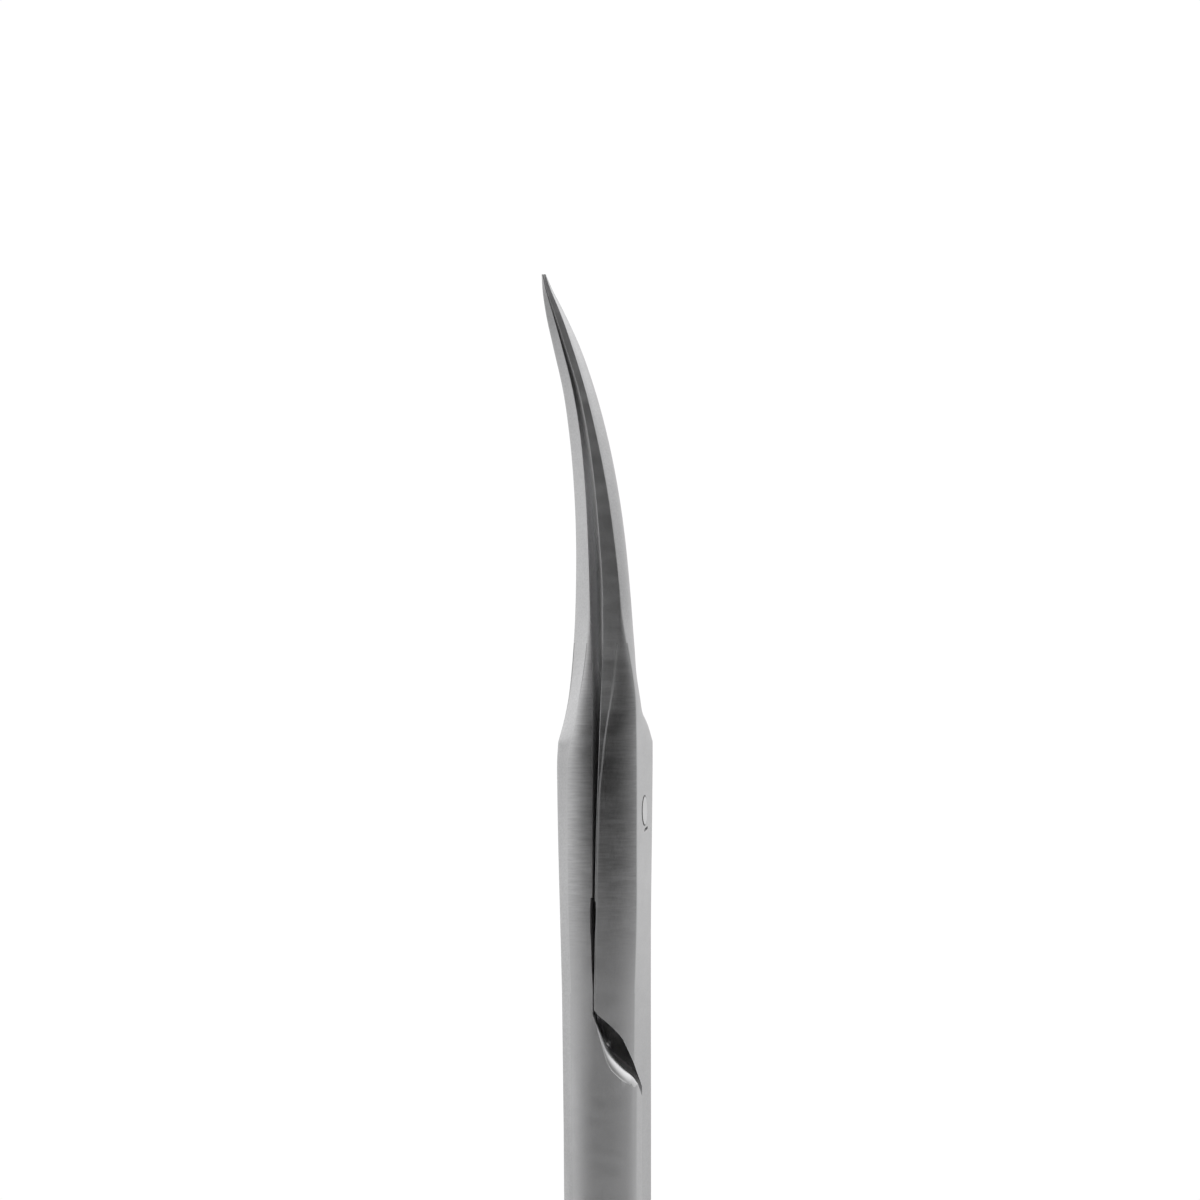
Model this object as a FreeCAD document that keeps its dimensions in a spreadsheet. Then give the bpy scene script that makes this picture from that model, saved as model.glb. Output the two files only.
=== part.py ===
import FreeCAD, Part
import math
import os
import Sketcher
from FreeCAD import Vector, Placement, Rotation

# Cuticle scissors, closed, tips up. Millimetres.
# +Z runs up the tool towards the tips, X is the pivot axis, Y is the width across the rings.
# The left half lies on the -X side of the lap joint and carries the ring on the -Y side;
# the right half lies on the +X side and carries the ring on the +Y side.
# Each half is modelled about the pivot point and then placed so that the row's origin is at
# the bottom centre of the closed tool.

doc = FreeCAD.newDocument("cuticle_scissors")
sheet = doc.addObject("Spreadsheet::Sheet", "dims")
cell_row = [0]


def put(alias, value):
    """One named dimension: its name in column A, its number in column B."""
    cell_row[0] += 1
    row = cell_row[0]
    sheet.set("A%d" % row, alias)
    sheet.set("B%d" % row, repr(round(float(value), 5)))
    sheet.setAlias("B%d" % row, alias)
    return alias


# ---------------------------------------------------------------- driving dimensions
DIM = dict(
    pivot_height=72.0,      # pivot above the bottom of the rings
    pivot_offset=0.6095,     # pivot plane from the middle of the closed tool's thickness
    # finger rings
    ring_outer_rad=13.7,
    ring_inner_rad=10.6,
    ring_thick=3.2,
    ring_round=1.2,
    ring_centre_drop=58.3,  # ring centre below the pivot
    crotch_rad=6.0,         # sweep from the shank into the ring
    half_gap=0.3,           # each shank's inner side from the middle plane, at the rings
    shank_wide=3.1,
    shank_end_drop=36.0,    # where the shank turns into the ring forging
    # lap joint
    lap_end_drop=9.5,
    block_end_drop=16.5,
    shank_gap=0.08,         # each shank's inner side from the middle plane, at the joint
    ramp_slope=0.547,       # fall of the joint's lower end per mm across the width
    ramp_rad=5.5,
    scoop_slope=1.6,
    # pivot screw
    screw_head_rad=1.72,
    screw_head_seat=1.75,
    screw_shoulder_rad=1.10,
    screw_bore_rad=1.12,
    screw_end_rad=0.80,
    screw_end_bore=0.81,
    screw_head_face=2.07,
    screw_head_under=1.22,
    screw_seat_floor=1.20,
    screw_shoulder_end=0.43,
    screw_shoulder_seat=0.45,
    screw_tip_face=2.139,
    screw_slot_wide=0.45,
    screw_slot_deep=0.40,
    stake_wide=0.14,
    stake_long=1.0,
    stake_deep=0.10,
)
for key, val in DIM.items():
    put(key, val)

# ---------------------------------------------------------------- blade and joint sections
# Each row is one level: its height above the pivot, then the six corners (x, y) of that half's
# section, then how far its curved sides (rounded side, edge side, outer flank) bulge as a share
# of their chords.
# Right half: inner corner of the blade's back, outer corner of the ground back, outer corner of
# the rounded side, start of the edge bevel, end of the edge bevel, cutting edge.
RIGHT = [
    (-9.5, 0.030, -3.380, 0.175, -3.370, 1.950, -2.000, 2.059, 2.250, 1.510, 2.696, 0.030, 3.380, 0.1746, 0.0700, 0.0000),
    (-5.5, 0.067, -3.380, 0.177, -3.370, 2.090, -2.200, 2.052, 2.326, 1.501, 2.749, 0.030, 3.380, 0.1350, 0.0700, 0.0000),
    (-1.5, 0.134, -3.380, 0.244, -3.370, 2.122, -2.303, 2.088, 2.385, 1.523, 2.792, 0.030, 3.380, 0.1280, 0.0700, 0.0000),
    (1.2, 0.216, -3.370, 0.340, -3.360, 2.123, -2.300, 2.112, 2.410, 1.538, 2.805, 0.030, 3.360, 0.1280, 0.0700, 0.0000),
    (2.7, 0.266, -3.326, 0.487, -3.316, 2.119, -2.300, 2.124, 2.419, 1.524, 2.789, -0.027, 3.274, 0.1280, 0.0700, 0.0000),
    (3.6, 0.290, -3.259, 0.568, -3.249, 2.114, -2.300, 2.126, 2.401, 1.481, 2.761, -0.047, 3.163, 0.1280, 0.0700, 0.0000),
    (4.6, 0.305, -3.143, 0.687, -3.133, 2.101, -2.327, 1.953, 1.600, 1.161, 2.634, -0.074, 3.016, 0.1280, 0.0650, 0.0131),
    (5.7, 0.314, -2.980, 0.844, -2.970, 2.068, -2.378, 1.479, 0.950, 0.807, 2.527, -0.107, 2.832, 0.1260, 0.0600, 0.0747),
    (7.0, 0.331, -2.780, 0.992, -2.770, 1.920, -2.399, 1.243, 0.450, 0.545, 2.355, -0.117, 2.602, 0.1200, 0.0550, 0.0972),
    (8.4, 0.347, -2.575, 1.069, -2.565, 1.669, -2.358, 1.378, 0.100, 0.324, 2.212, -0.138, 2.357, 0.1100, 0.0500, 0.1063),
    (10.0, 0.314, -2.370, 1.196, -2.360, 1.385, -2.240, 1.446, -0.200, 0.047, 2.038, -0.190, 2.100, 0.0900, 0.0450, 0.1063),
    (12.0, 0.240, -2.140, 1.073, -2.110, 1.133, -2.080, 1.342, -0.300, -0.198, 1.836, -0.256, 1.850, 0.0800, 0.0400, 0.1063),
    (14.4, 0.028, -1.878, 0.765, -1.859, 0.816, -1.829, 1.114, -0.320, -0.321, 1.576, -0.366, 1.587, 0.0800, 0.0400, 0.1063),
    (17.0, -0.256, -1.588, 0.341, -1.568, 0.382, -1.538, 0.723, -0.280, -0.522, 1.288, -0.562, 1.297, 0.0800, 0.0400, 0.1063),
    (19.6, -0.667, -1.292, -0.226, -1.275, -0.194, -1.245, 0.178, -0.220, -0.851, 0.995, -0.885, 1.003, 0.0800, 0.0400, 0.1063),
    (22.0, -1.218, -1.005, -0.863, -0.997, -0.840, -0.967, -0.496, -0.150, -1.363, 0.730, -1.391, 0.734, 0.0800, 0.0400, 0.1063),
    (24.2, -1.958, -0.715, -1.596, -0.711, -1.578, -0.684, -1.292, -0.090, -2.016, 0.494, -2.043, 0.496, 0.0800, 0.0400, 0.1063),
    (26.0, -2.591, -0.461, -2.287, -0.457, -2.269, -0.431, -2.140, -0.040, -2.622, 0.278, -2.645, 0.278, 0.0800, 0.0400, 0.1063),
    (27.3, -3.063, -0.249, -2.868, -0.245, -2.850, -0.219, -2.824, 0.000, -3.055, 0.126, -3.075, 0.126, 0.0800, 0.0400, 0.1063),
    (28.0, -3.215, -0.120, -3.196, -0.114, -3.176, -0.090, -3.162, 0.020, -3.208, 0.052, -3.227, 0.050, 0.0800, 0.0400, 0.1063),
]
# Left half, the same corners in its own order: it is turned half round the long axis.
LEFT = [
    (-9.5, -0.030, 3.380, -0.175, 3.370, -1.880, 2.000, -1.861, -2.300, -1.307, -2.750, -0.030, -3.380, 0.1746, 0.0700, 0.0000),
    (-5.5, -0.045, 3.380, -0.161, 3.370, -2.018, 2.200, -1.965, -2.300, -1.438, -2.750, -0.057, -3.380, 0.1350, 0.0700, 0.0000),
    (-1.5, -0.087, 3.380, -0.207, 3.370, -2.105, 2.303, -2.067, -2.300, -1.500, -2.750, -0.067, -3.380, 0.1280, 0.0700, 0.0000),
    (1.2, -0.150, 3.370, -0.330, 3.360, -2.120, 2.300, -2.113, -2.300, -1.504, -2.750, -0.072, -3.360, 0.1280, 0.0700, 0.0000),
    (2.7, -0.212, 3.326, -0.479, 3.316, -2.120, 2.300, -2.119, -2.300, -1.458, -2.750, -0.087, -3.274, 0.1280, 0.0700, 0.0000),
    (3.6, -0.255, 3.259, -0.588, 3.249, -2.120, 2.300, -2.067, -2.277, -1.316, -2.741, -0.107, -3.163, 0.1280, 0.0700, 0.0000),
    (4.6, -0.302, 3.143, -0.726, 3.133, -2.099, 2.327, -1.813, -2.116, -1.073, -2.720, -0.134, -3.016, 0.1280, 0.0700, 0.0000),
    (5.7, -0.356, 2.980, -0.890, 2.970, -2.035, 2.378, -1.603, -1.931, -0.915, -2.612, -0.167, -2.832, 0.1260, 0.0650, 0.0200),
    (7.0, -0.428, 2.780, -1.065, 2.770, -1.880, 2.399, -1.461, -1.732, -0.728, -2.430, -0.217, -2.602, 0.1200, 0.0600, 0.0300),
    (8.4, -0.513, 2.575, -1.263, 2.565, -1.704, 2.358, -1.386, -1.547, -0.579, -2.243, -0.288, -2.357, 0.1100, 0.0550, 0.0300),
    (10.0, -0.503, 2.370, -1.449, 2.360, -1.580, 2.240, -1.336, -1.330, -0.505, -2.030, -0.390, -2.100, 0.0900, 0.0500, 0.0300),
    (12.0, -0.495, 2.140, -1.450, 2.110, -1.510, 2.080, -1.334, -1.060, -0.532, -1.815, -0.486, -1.850, 0.0800, 0.0400, 0.0300),
    (14.4, -0.612, 1.878, -1.516, 1.859, -1.567, 1.829, -1.381, -0.821, -0.658, -1.553, -0.616, -1.587, 0.0800, 0.0400, 0.0300),
    (17.0, -0.792, 1.588, -1.679, 1.568, -1.720, 1.538, -1.533, -0.599, -0.852, -1.266, -0.812, -1.297, 0.0800, 0.0400, 0.0300),
    (19.6, -1.096, 1.292, -1.946, 1.275, -1.977, 1.245, -1.795, -0.410, -1.153, -0.977, -1.115, -1.003, 0.0800, 0.0400, 0.0300),
    (22.0, -1.544, 1.005, -2.301, 0.997, -2.324, 0.967, -2.172, -0.269, -1.605, -0.715, -1.571, -0.734, 0.0800, 0.0400, 0.0300),
    (24.2, -2.180, 0.715, -2.781, 0.711, -2.799, 0.684, -2.704, -0.168, -2.204, -0.483, -2.173, -0.496, 0.0800, 0.0400, 0.0300),
    (26.0, -2.737, 0.461, -3.146, 0.457, -3.164, 0.431, -3.118, -0.088, -2.748, -0.268, -2.725, -0.278, 0.0800, 0.0400, 0.0300),
    (27.3, -3.140, 0.249, -3.307, 0.245, -3.325, 0.219, -3.309, -0.031, -3.152, -0.118, -3.135, -0.126, 0.0800, 0.0400, 0.0300),
    (28.0, -3.262, 0.110, -3.340, 0.104, -3.360, 0.080, -3.350, 0.000, -3.308, -0.042, -3.287, -0.050, 0.0800, 0.0400, 0.0300),
]
# Corner numbers, in each row, of the curved sides: (first corner, bulge column).
BLADE_ARCS = {1: 13, 4: 14, 2: 15}

# The block below the lap, where each half grows from half to full thickness: its height, then nine
# corners (x, y) from the outer face round its handle side, and the bulge of its four curved sides.
# Its upper level holds the lap's own corners, so the two meet without a step.
LEFT_BLOCK = [
    (-9.5, -1.8610, -2.3000, -1.3070, -2.7500, -0.0300, -3.3800, 1.9000, -2.3500, 2.0400, -1.8000, 2.0000, 2.8200, -0.0300, 3.3800, -0.1750, 3.3700, -1.8800, 2.0000, 0.07000, 0.12240, 0.06760, 0.17460),
    (-16.5, -1.7750, -2.3000, -1.2700, -2.7500, -0.0300, -3.3800, 1.8500, -2.3500, 2.0000, -1.8000, 2.0000, 2.8000, -0.0300, 3.3800, -0.1750, 3.3700, -1.7800, 2.0000, 0.11970, 0.12470, 0.06990, 0.17200),
]
RIGHT_BLOCK = [
    (-9.5, 2.0590, 2.2500, 1.5100, 2.6960, 0.0300, 3.3800, -1.9000, 2.3500, -2.0400, 1.8000, -2.0000, -2.8200, 0.0300, -3.3800, 0.1750, -3.3700, 1.9500, -2.0000, 0.07000, 0.12240, 0.06760, 0.17460),
    (-16.5, 2.0600, 2.3000, 1.5000, 2.7500, 0.0300, 3.3800, -1.8500, 2.3500, -2.0000, 1.8000, -2.0000, -2.8000, 0.0300, -3.3800, 0.1750, -3.3700, 1.8750, -2.0000, 0.10260, 0.12470, 0.06990, 0.17200),
]
BLOCK_ARCS = {1: 19, 2: 20, 5: 21, 7: 22}

# The shanks, from the block to the ring forging: height, then nine corners (x, y) going round from
# the outer face, and the bulge of the four corners and of the two parts of the handle side.
LEFT_SHANK = [
    (-16.5, -1.7774, -0.2000, -1.7750, -2.3000, -1.2700, -2.7500, -0.0300, -3.3800, 1.8500, -2.3500, 2.0000, -1.8000, 2.0000, -0.2000, 1.8800, -0.0800, -1.6574, -0.0800, 0.00000, 0.11970, 0.12470, 0.00000, 0.20000, 0.20000),
    (-22.5, -1.7300, -0.2800, -1.7300, -2.2900, -1.1200, -2.8800, 0.1000, -3.3700, 1.7200, -2.5000, 1.9700, -1.8500, 1.9700, -0.2800, 1.8100, -0.1200, -1.5700, -0.1200, 0.09000, 0.09660, 0.12010, 0.06140, 0.20400, 0.20400),
    (-29.5, -1.6600, -0.9000, -1.6600, -2.3300, -0.7200, -3.2400, 0.0600, -3.3660, 0.9800, -3.1600, 1.8000, -2.2400, 1.8000, -0.9000, 1.1200, -0.2200, -0.9800, -0.2200, 0.18000, 0.04010, 0.05530, 0.16000, 0.20600, 0.20600),
    (-36.0, -1.6000, -1.5000, -1.6000, -2.2000, -0.4000, -3.4000, 0.0000, -3.4000, 0.4000, -3.4000, 1.6000, -2.2000, 1.6000, -1.5000, 0.4000, -0.3000, -0.4000, -0.3000, 0.20711, 0.00000, 0.00000, 0.20711, 0.20711, 0.20711),
]
RIGHT_SHANK = [
    (-16.5, 1.9697, 0.2000, 2.0600, 2.3000, 1.5000, 2.7500, 0.0300, 3.3800, -1.8500, 2.3500, -2.0000, 1.8000, -2.0000, 0.2000, -1.8800, 0.0800, 1.8497, 0.0800, 0.00000, 0.10260, 0.12470, 0.00000, 0.20000, 0.20000),
    (-22.5, 2.0400, 0.2800, 2.0400, 2.2900, 1.4300, 2.8800, 0.0000, 3.3700, -1.7200, 2.5000, -1.9700, 1.8500, -1.9700, 0.2800, -1.8100, 0.1200, 1.8800, 0.1200, 0.09000, 0.08320, 0.11720, 0.06140, 0.20400, 0.20400),
    (-29.5, 1.8400, 0.9000, 1.8400, 2.3300, 0.9000, 3.2400, 0.0000, 3.3660, -0.9800, 3.1600, -1.8000, 2.2400, -1.8000, 0.9000, -1.1200, 0.2200, 1.1600, 0.2200, 0.18000, 0.03480, 0.05350, 0.16000, 0.20600, 0.20600),
    (-36.0, 1.6000, 1.5000, 1.6000, 2.2000, 0.4000, 3.4000, 0.0000, 3.4000, -0.4000, 3.4000, -1.6000, 2.2000, -1.6000, 1.5000, -0.4000, 0.3000, 0.4000, 0.3000, 0.20711, 0.00000, 0.00000, 0.20711, 0.20711, 0.20711),
]
SHANK_ARCS = {1: 19, 2: 20, 3: 21, 4: 22, 6: 23, 8: 24}

# Lower end of the half-thickness lap (x, fall below the pivot), measured at the 3 mm station of
# the width; it slopes down across the width towards its own shank.
LAP_END = [(0.0, 10.52), (0.30, 10.86), (0.863, 11.29), (1.40, 11.72), (1.575, 12.0), (1.887, 12.58), (2.40, 13.55)]
# Shallow relief behind the pivot on the inner faces (height, depth from the middle plane).
RELIEF_LEFT = [(-4.5, 0.150), (-5.2, 0.178), (-6.2, 0.170), (-6.9, 0.128), (-7.8, 0.100), (-8.8, 0.060), (-9.3, 0.026)]
RELIEF_RIGHT = [(-4.7, 0.115), (-5.2, 0.140), (-5.9, 0.120), (-6.8, 0.080), (-8.4, 0.055), (-9.3, 0.026)]


# ---------------------------------------------------------------- helpers
def origin_plane(body, role):
    return [f for f in body.Origin.OriginFeatures if f.Role == role][0]


def new_sketch(body, name, role, offset=0.0, alias=None, sign=1):
    sk = body.newObject("Sketcher::SketchObject", name)
    sk.AttachmentSupport = [(origin_plane(body, role), "")]
    sk.MapMode = "FlatFace"
    sk.AttachmentOffset = Placement(Vector(0, 0, offset), Rotation())
    if alias:
        sk.setExpression("AttachmentOffset.Base.z", ("-" if sign < 0 else "") + "dims." + alias)
    return sk


def outline(sk, pts, aliases, arcs):
    """A closed outline through pts. arcs maps an edge's first corner to (bulge share, alias of
    its radius); a bulge of 0 is a straight side. Every corner is held by two named dimensions."""
    n = len(pts)
    geo, ends = [], []
    for i in range(n):
        p, q = pts[i], pts[(i + 1) % n]
        bulge = arcs[i][0] if i in arcs else 0.0
        if bulge <= 0:
            geo.append(Part.LineSegment(Vector(p[0], p[1], 0), Vector(q[0], q[1], 0)))
        else:
            dx, dy = q[0] - p[0], q[1] - p[1]
            chord = math.hypot(dx, dy)
            rise = bulge * chord
            rad = (chord * chord / 4 + rise * rise) / (2 * rise)
            nx, ny = dy / chord, -dx / chord
            cx, cy = (p[0] + q[0]) / 2 - nx * (rad - rise), (p[1] + q[1]) / 2 - ny * (rad - rise)
            a0, a1 = math.atan2(p[1] - cy, p[0] - cx), math.atan2(q[1] - cy, q[0] - cx)
            if a1 < a0:
                a1 += 2 * math.pi
            geo.append(Part.ArcOfCircle(Part.Circle(Vector(cx, cy, 0), Vector(0, 0, 1), rad), a0, a1))
    sk.addGeometry(geo, False)
    cons, names = [], []
    for i in range(n):
        cons.append(Sketcher.Constraint("Coincident", i, 2, (i + 1) % n, 1))
        names.append(None)
    for i in range(n):
        cons.append(Sketcher.Constraint("DistanceX", -1, 1, i, 1, pts[i][0]))
        names.append(("px%d" % i, aliases[2 * i]))
        cons.append(Sketcher.Constraint("DistanceY", -1, 1, i, 1, pts[i][1]))
        names.append(("py%d" % i, aliases[2 * i + 1]))
    for i, (bulge, alias) in arcs.items():
        if bulge > 0:
            cons.append(Sketcher.Constraint("Radius", i, geo[i].Radius))
            names.append(("bend%d" % i, alias))
    sk.addConstraint(cons)
    for k, nm in enumerate(names):
        if nm is None:
            continue
        sk.renameConstraint(k, nm[0])
        if nm[1]:
            sk.setExpression("Constraints." + nm[0], "dims." + nm[1])
    return geo


def arc_radius(p, q, bulge):
    chord = math.hypot(q[0] - p[0], q[1] - p[1])
    rise = bulge * chord
    return (chord * chord / 4 + rise * rise) / (2 * rise)


def enter_levels(tag, rows, corners, arc_cols):
    """Enters a section table in the sheet: each level's height, corners and bend radii."""
    for k, row in enumerate(rows):
        pre = "%s_%02d_" % (tag, k)
        pts = [(row[1 + 2 * i], row[2 + 2 * i]) for i in range(corners)]
        put(pre + "level", row[0])
        for i, p in enumerate(pts):
            put(pre + "x%d" % i, p[0])
            put(pre + "y%d" % i, p[1])
        for i, col in arc_cols.items():
            if row[col] > 0:
                put(pre + "rad%d" % i, arc_radius(pts[i], pts[(i + 1) % corners], row[col]))


def enter_points(tag, pts):
    """Enters a list of points in the sheet."""
    for i, p in enumerate(pts):
        put("%s_x%d" % (tag, i), p[0])
        put("%s_y%d" % (tag, i), p[1])


def names_of(tag, n):
    return [a for i in range(n) for a in ("%s_x%d" % (tag, i), "%s_y%d" % (tag, i))]


def level_sketches(body, tag, rows, corners, arc_cols):
    """One level sketch per row of a section table, each corner bound to the sheet."""
    out = []
    for k, row in enumerate(rows):
        pre = "%s_%02d_" % (tag, k)
        pts = [(row[1 + 2 * i], row[2 + 2 * i]) for i in range(corners)]
        aliases = [a for i in range(corners) for a in (pre + "x%d" % i, pre + "y%d" % i)]
        arcs = {i: (row[col], pre + "rad%d" % i) for i, col in arc_cols.items()}
        sk = new_sketch(body, tag + "_%02d" % k, "XY_Plane", row[0], pre + "level")
        outline(sk, pts, aliases, arcs)
        out.append(sk)
    return out


def finer(rows, above):
    """The section table with a level added half way between rows higher than above, on a smooth
    cubic through the rows, so that straight rulings between levels follow the blade's sweep."""
    n, zs = len(rows), [r[0] for r in rows]
    gap = [zs[i + 1] - zs[i] for i in range(n - 1)]
    out = []
    for i in range(n - 1):
        out.append(rows[i])
        if zs[i] < above:
            continue
        mid = [(zs[i] + zs[i + 1]) / 2]
        for c in range(1, len(rows[0])):
            v = [r[c] for r in rows]
            sec = [(v[k + 1] - v[k]) / gap[k] for k in range(n - 1)]
            tan = []
            for k in (i, i + 1):
                if k == 0 or k == n - 1:
                    tan.append(sec[min(k, n - 2)])
                else:
                    tan.append((sec[k - 1] * gap[k] + sec[k] * gap[k - 1]) / (gap[k - 1] + gap[k]))
            mid.append((v[i] + v[i + 1]) / 2 + gap[i] * (tan[0] - tan[1]) / 8)
        out.append(tuple(mid))
    out.append(rows[-1])
    return out


def add_loft(body, name, sketches, kind="PartDesign::AdditiveLoft", ruled=False):
    loft = body.newObject(kind, name)
    loft.Profile = sketches[0]
    loft.Sections = [(s, [""]) for s in sketches[1:]]
    loft.Ruled = ruled
    doc.recompute()
    return loft


def polygon_sketch(body, name, role, offset, pts, tag, arcs=None):
    sk = new_sketch(body, name, role, offset)
    outline(sk, pts, names_of(tag, len(pts)), arcs or {})
    return sk


def cut(body, name, sk, direction, length, keep_less=True):
    """A pocket along a given direction; its volume has to fall."""
    before = body.Shape.Volume
    p = body.newObject("PartDesign::Pocket", name)
    p.Profile = sk
    p.Type = "Length"
    p.Length = length
    p.UseCustomVector = True
    p.Direction = direction
    p.AlongSketchNormal = False
    doc.recompute()
    if body.Shape.Volume >= before - 1e-6:
        p.Reversed = not p.Reversed
        doc.recompute()
    if body.Shape.Volume >= before - 1e-6:
        raise RuntimeError("the cut %s removes nothing" % name)
    return p


def edges_at(shape, test):
    return ["Edge%d" % (i + 1) for i, e in enumerate(shape.Edges) if test(e)]


def ring_outline(body, name, side):
    """The ring and the lower shank in plan, on the YZ plane. side is -1 for the near ring."""
    d = DIM
    sk = new_sketch(body, name, "YZ_Plane")
    yc = side * (d["half_gap"] + d["ring_outer_rad"])
    zc = -d["ring_centre_drop"]
    ro, rf = d["ring_outer_rad"], d["crotch_rad"]
    yi, yo = side * d["half_gap"], side * (d["half_gap"] + d["shank_wide"])
    top = -d["shank_end_drop"]
    across = ro - d["shank_wide"] - rf
    zf = zc + math.sqrt((ro + rf) ** 2 - across ** 2)
    yf = yo + side * rf
    ux, uz = (yf - yc) / (ro + rf), (zf - zc) / (ro + rf)
    t2 = (yc + ro * ux, zc + ro * uz)
    t3 = (yo, zf)
    ang = lambda c, p: math.atan2(p[1] - c[1], p[0] - c[0])
    c, f = (yc, zc), (yf, zf)
    if side < 0:
        a_ring = (ang(c, t2), ang(c, (yi, zc)) + 2 * math.pi)
        a_fil = (ang(f, t2), ang(f, t3))
        ring_pos, fil_pos = {"line": 2, "fillet": 1}, {"ring": 1, "line": 2}
    else:
        a_ring = (ang(c, (yi, zc)), ang(c, t2) + 2 * math.pi)
        a_fil = (ang(f, t3), ang(f, t2))
        ring_pos, fil_pos = {"line": 1, "fillet": 2}, {"ring": 2, "line": 1}
    if a_ring[1] - a_ring[0] > 2 * math.pi:
        a_ring = (a_ring[0], a_ring[1] - 2 * math.pi)
    if a_ring[1] < a_ring[0]:
        a_ring = (a_ring[0], a_ring[1] + 2 * math.pi)
    if a_fil[1] < a_fil[0]:
        a_fil = (a_fil[0], a_fil[1] + 2 * math.pi)
    nz = Vector(0, 0, 1)
    sk.addGeometry([
        Part.LineSegment(Vector(yi, top, 0), Vector(yi, zc, 0)),
        Part.ArcOfCircle(Part.Circle(Vector(yc, zc, 0), nz, ro), *a_ring),
        Part.ArcOfCircle(Part.Circle(Vector(yf, zf, 0), nz, rf), *a_fil),
        Part.LineSegment(Vector(yo, zf, 0), Vector(yo, top, 0)),
        Part.LineSegment(Vector(yo, top, 0), Vector(yi, top, 0)),
    ], False)
    K = Sketcher.Constraint
    sk.addConstraint([
        K("Tangent", 0, 2, 1, ring_pos["line"]),
        K("Tangent", 1, ring_pos["fillet"], 2, fil_pos["ring"]),
        K("Tangent", 2, fil_pos["line"], 3, 1),
        K("Coincident", 3, 2, 4, 1),
        K("Coincident", 4, 2, 0, 1),
        K("Vertical", 0),
        K("Vertical", 3),
        K("Horizontal", 4),
        K("DistanceX", -1, 1, 0, 1, yi),
        K("DistanceY", -1, 1, 0, 1, top),
        K("DistanceY", -1, 1, 1, 3, zc),
        K("Radius", 1, ro),
        K("Radius", 2, rf),
        K("DistanceX", -1, 1, 3, 2, yo),
    ])
    sgn = "-" if side < 0 else ""
    for k, nm, ex in ((8, "inner", sgn + "dims.half_gap"), (9, "top", "-dims.shank_end_drop"),
                      (10, "centre", "-dims.ring_centre_drop"), (11, "ringrad", "dims.ring_outer_rad"),
                      (12, "crotch", "dims.crotch_rad"),
                      (13, "outer", "%s(dims.half_gap + dims.shank_wide)" % sgn)):
        sk.renameConstraint(k, nm)
        sk.setExpression("Constraints." + nm, ex)
    return sk, (yc, zc)


def cut_profiles(side, outer, relief):
    """The outlines, in the XZ plane, of what is cut from a half. outer is the X side of its outer
    face; each outline holds at its own station across the width and is swept from there."""
    o, slope, ssl = outer, DIM["ramp_slope"], DIM["scoop_slope"]
    xin = 0.030 * o
    up = slope * 1.0
    ramp = [(xin, 2.0), (xin, -10.80 + up), (-2.60 * o, -13.68 + up), (-2.60 * o, 2.0)]
    up = -0.3 * ssl
    scoop = [(xin, 2.0), (xin, -10.55 + up), (-2.40 * o, -17.25 + up), (-2.40 * o, 2.0)]
    up = slope * 0.6
    low = [(-2.9 * o, -8.0), (0.0, -8.0)] + [(x * o, -f + up) for x, f in LAP_END] + [(2.40 * o, -17.5), (-2.9 * o, -17.5)]
    hollow = [(-0.4 * o, relief[0][0])] + [(dep * o, z) for z, dep in relief] + [(-0.4 * o, relief[-1][0])]
    return dict(ramp=ramp, scoop=scoop, lap_end=low, relief=hollow)


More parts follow.
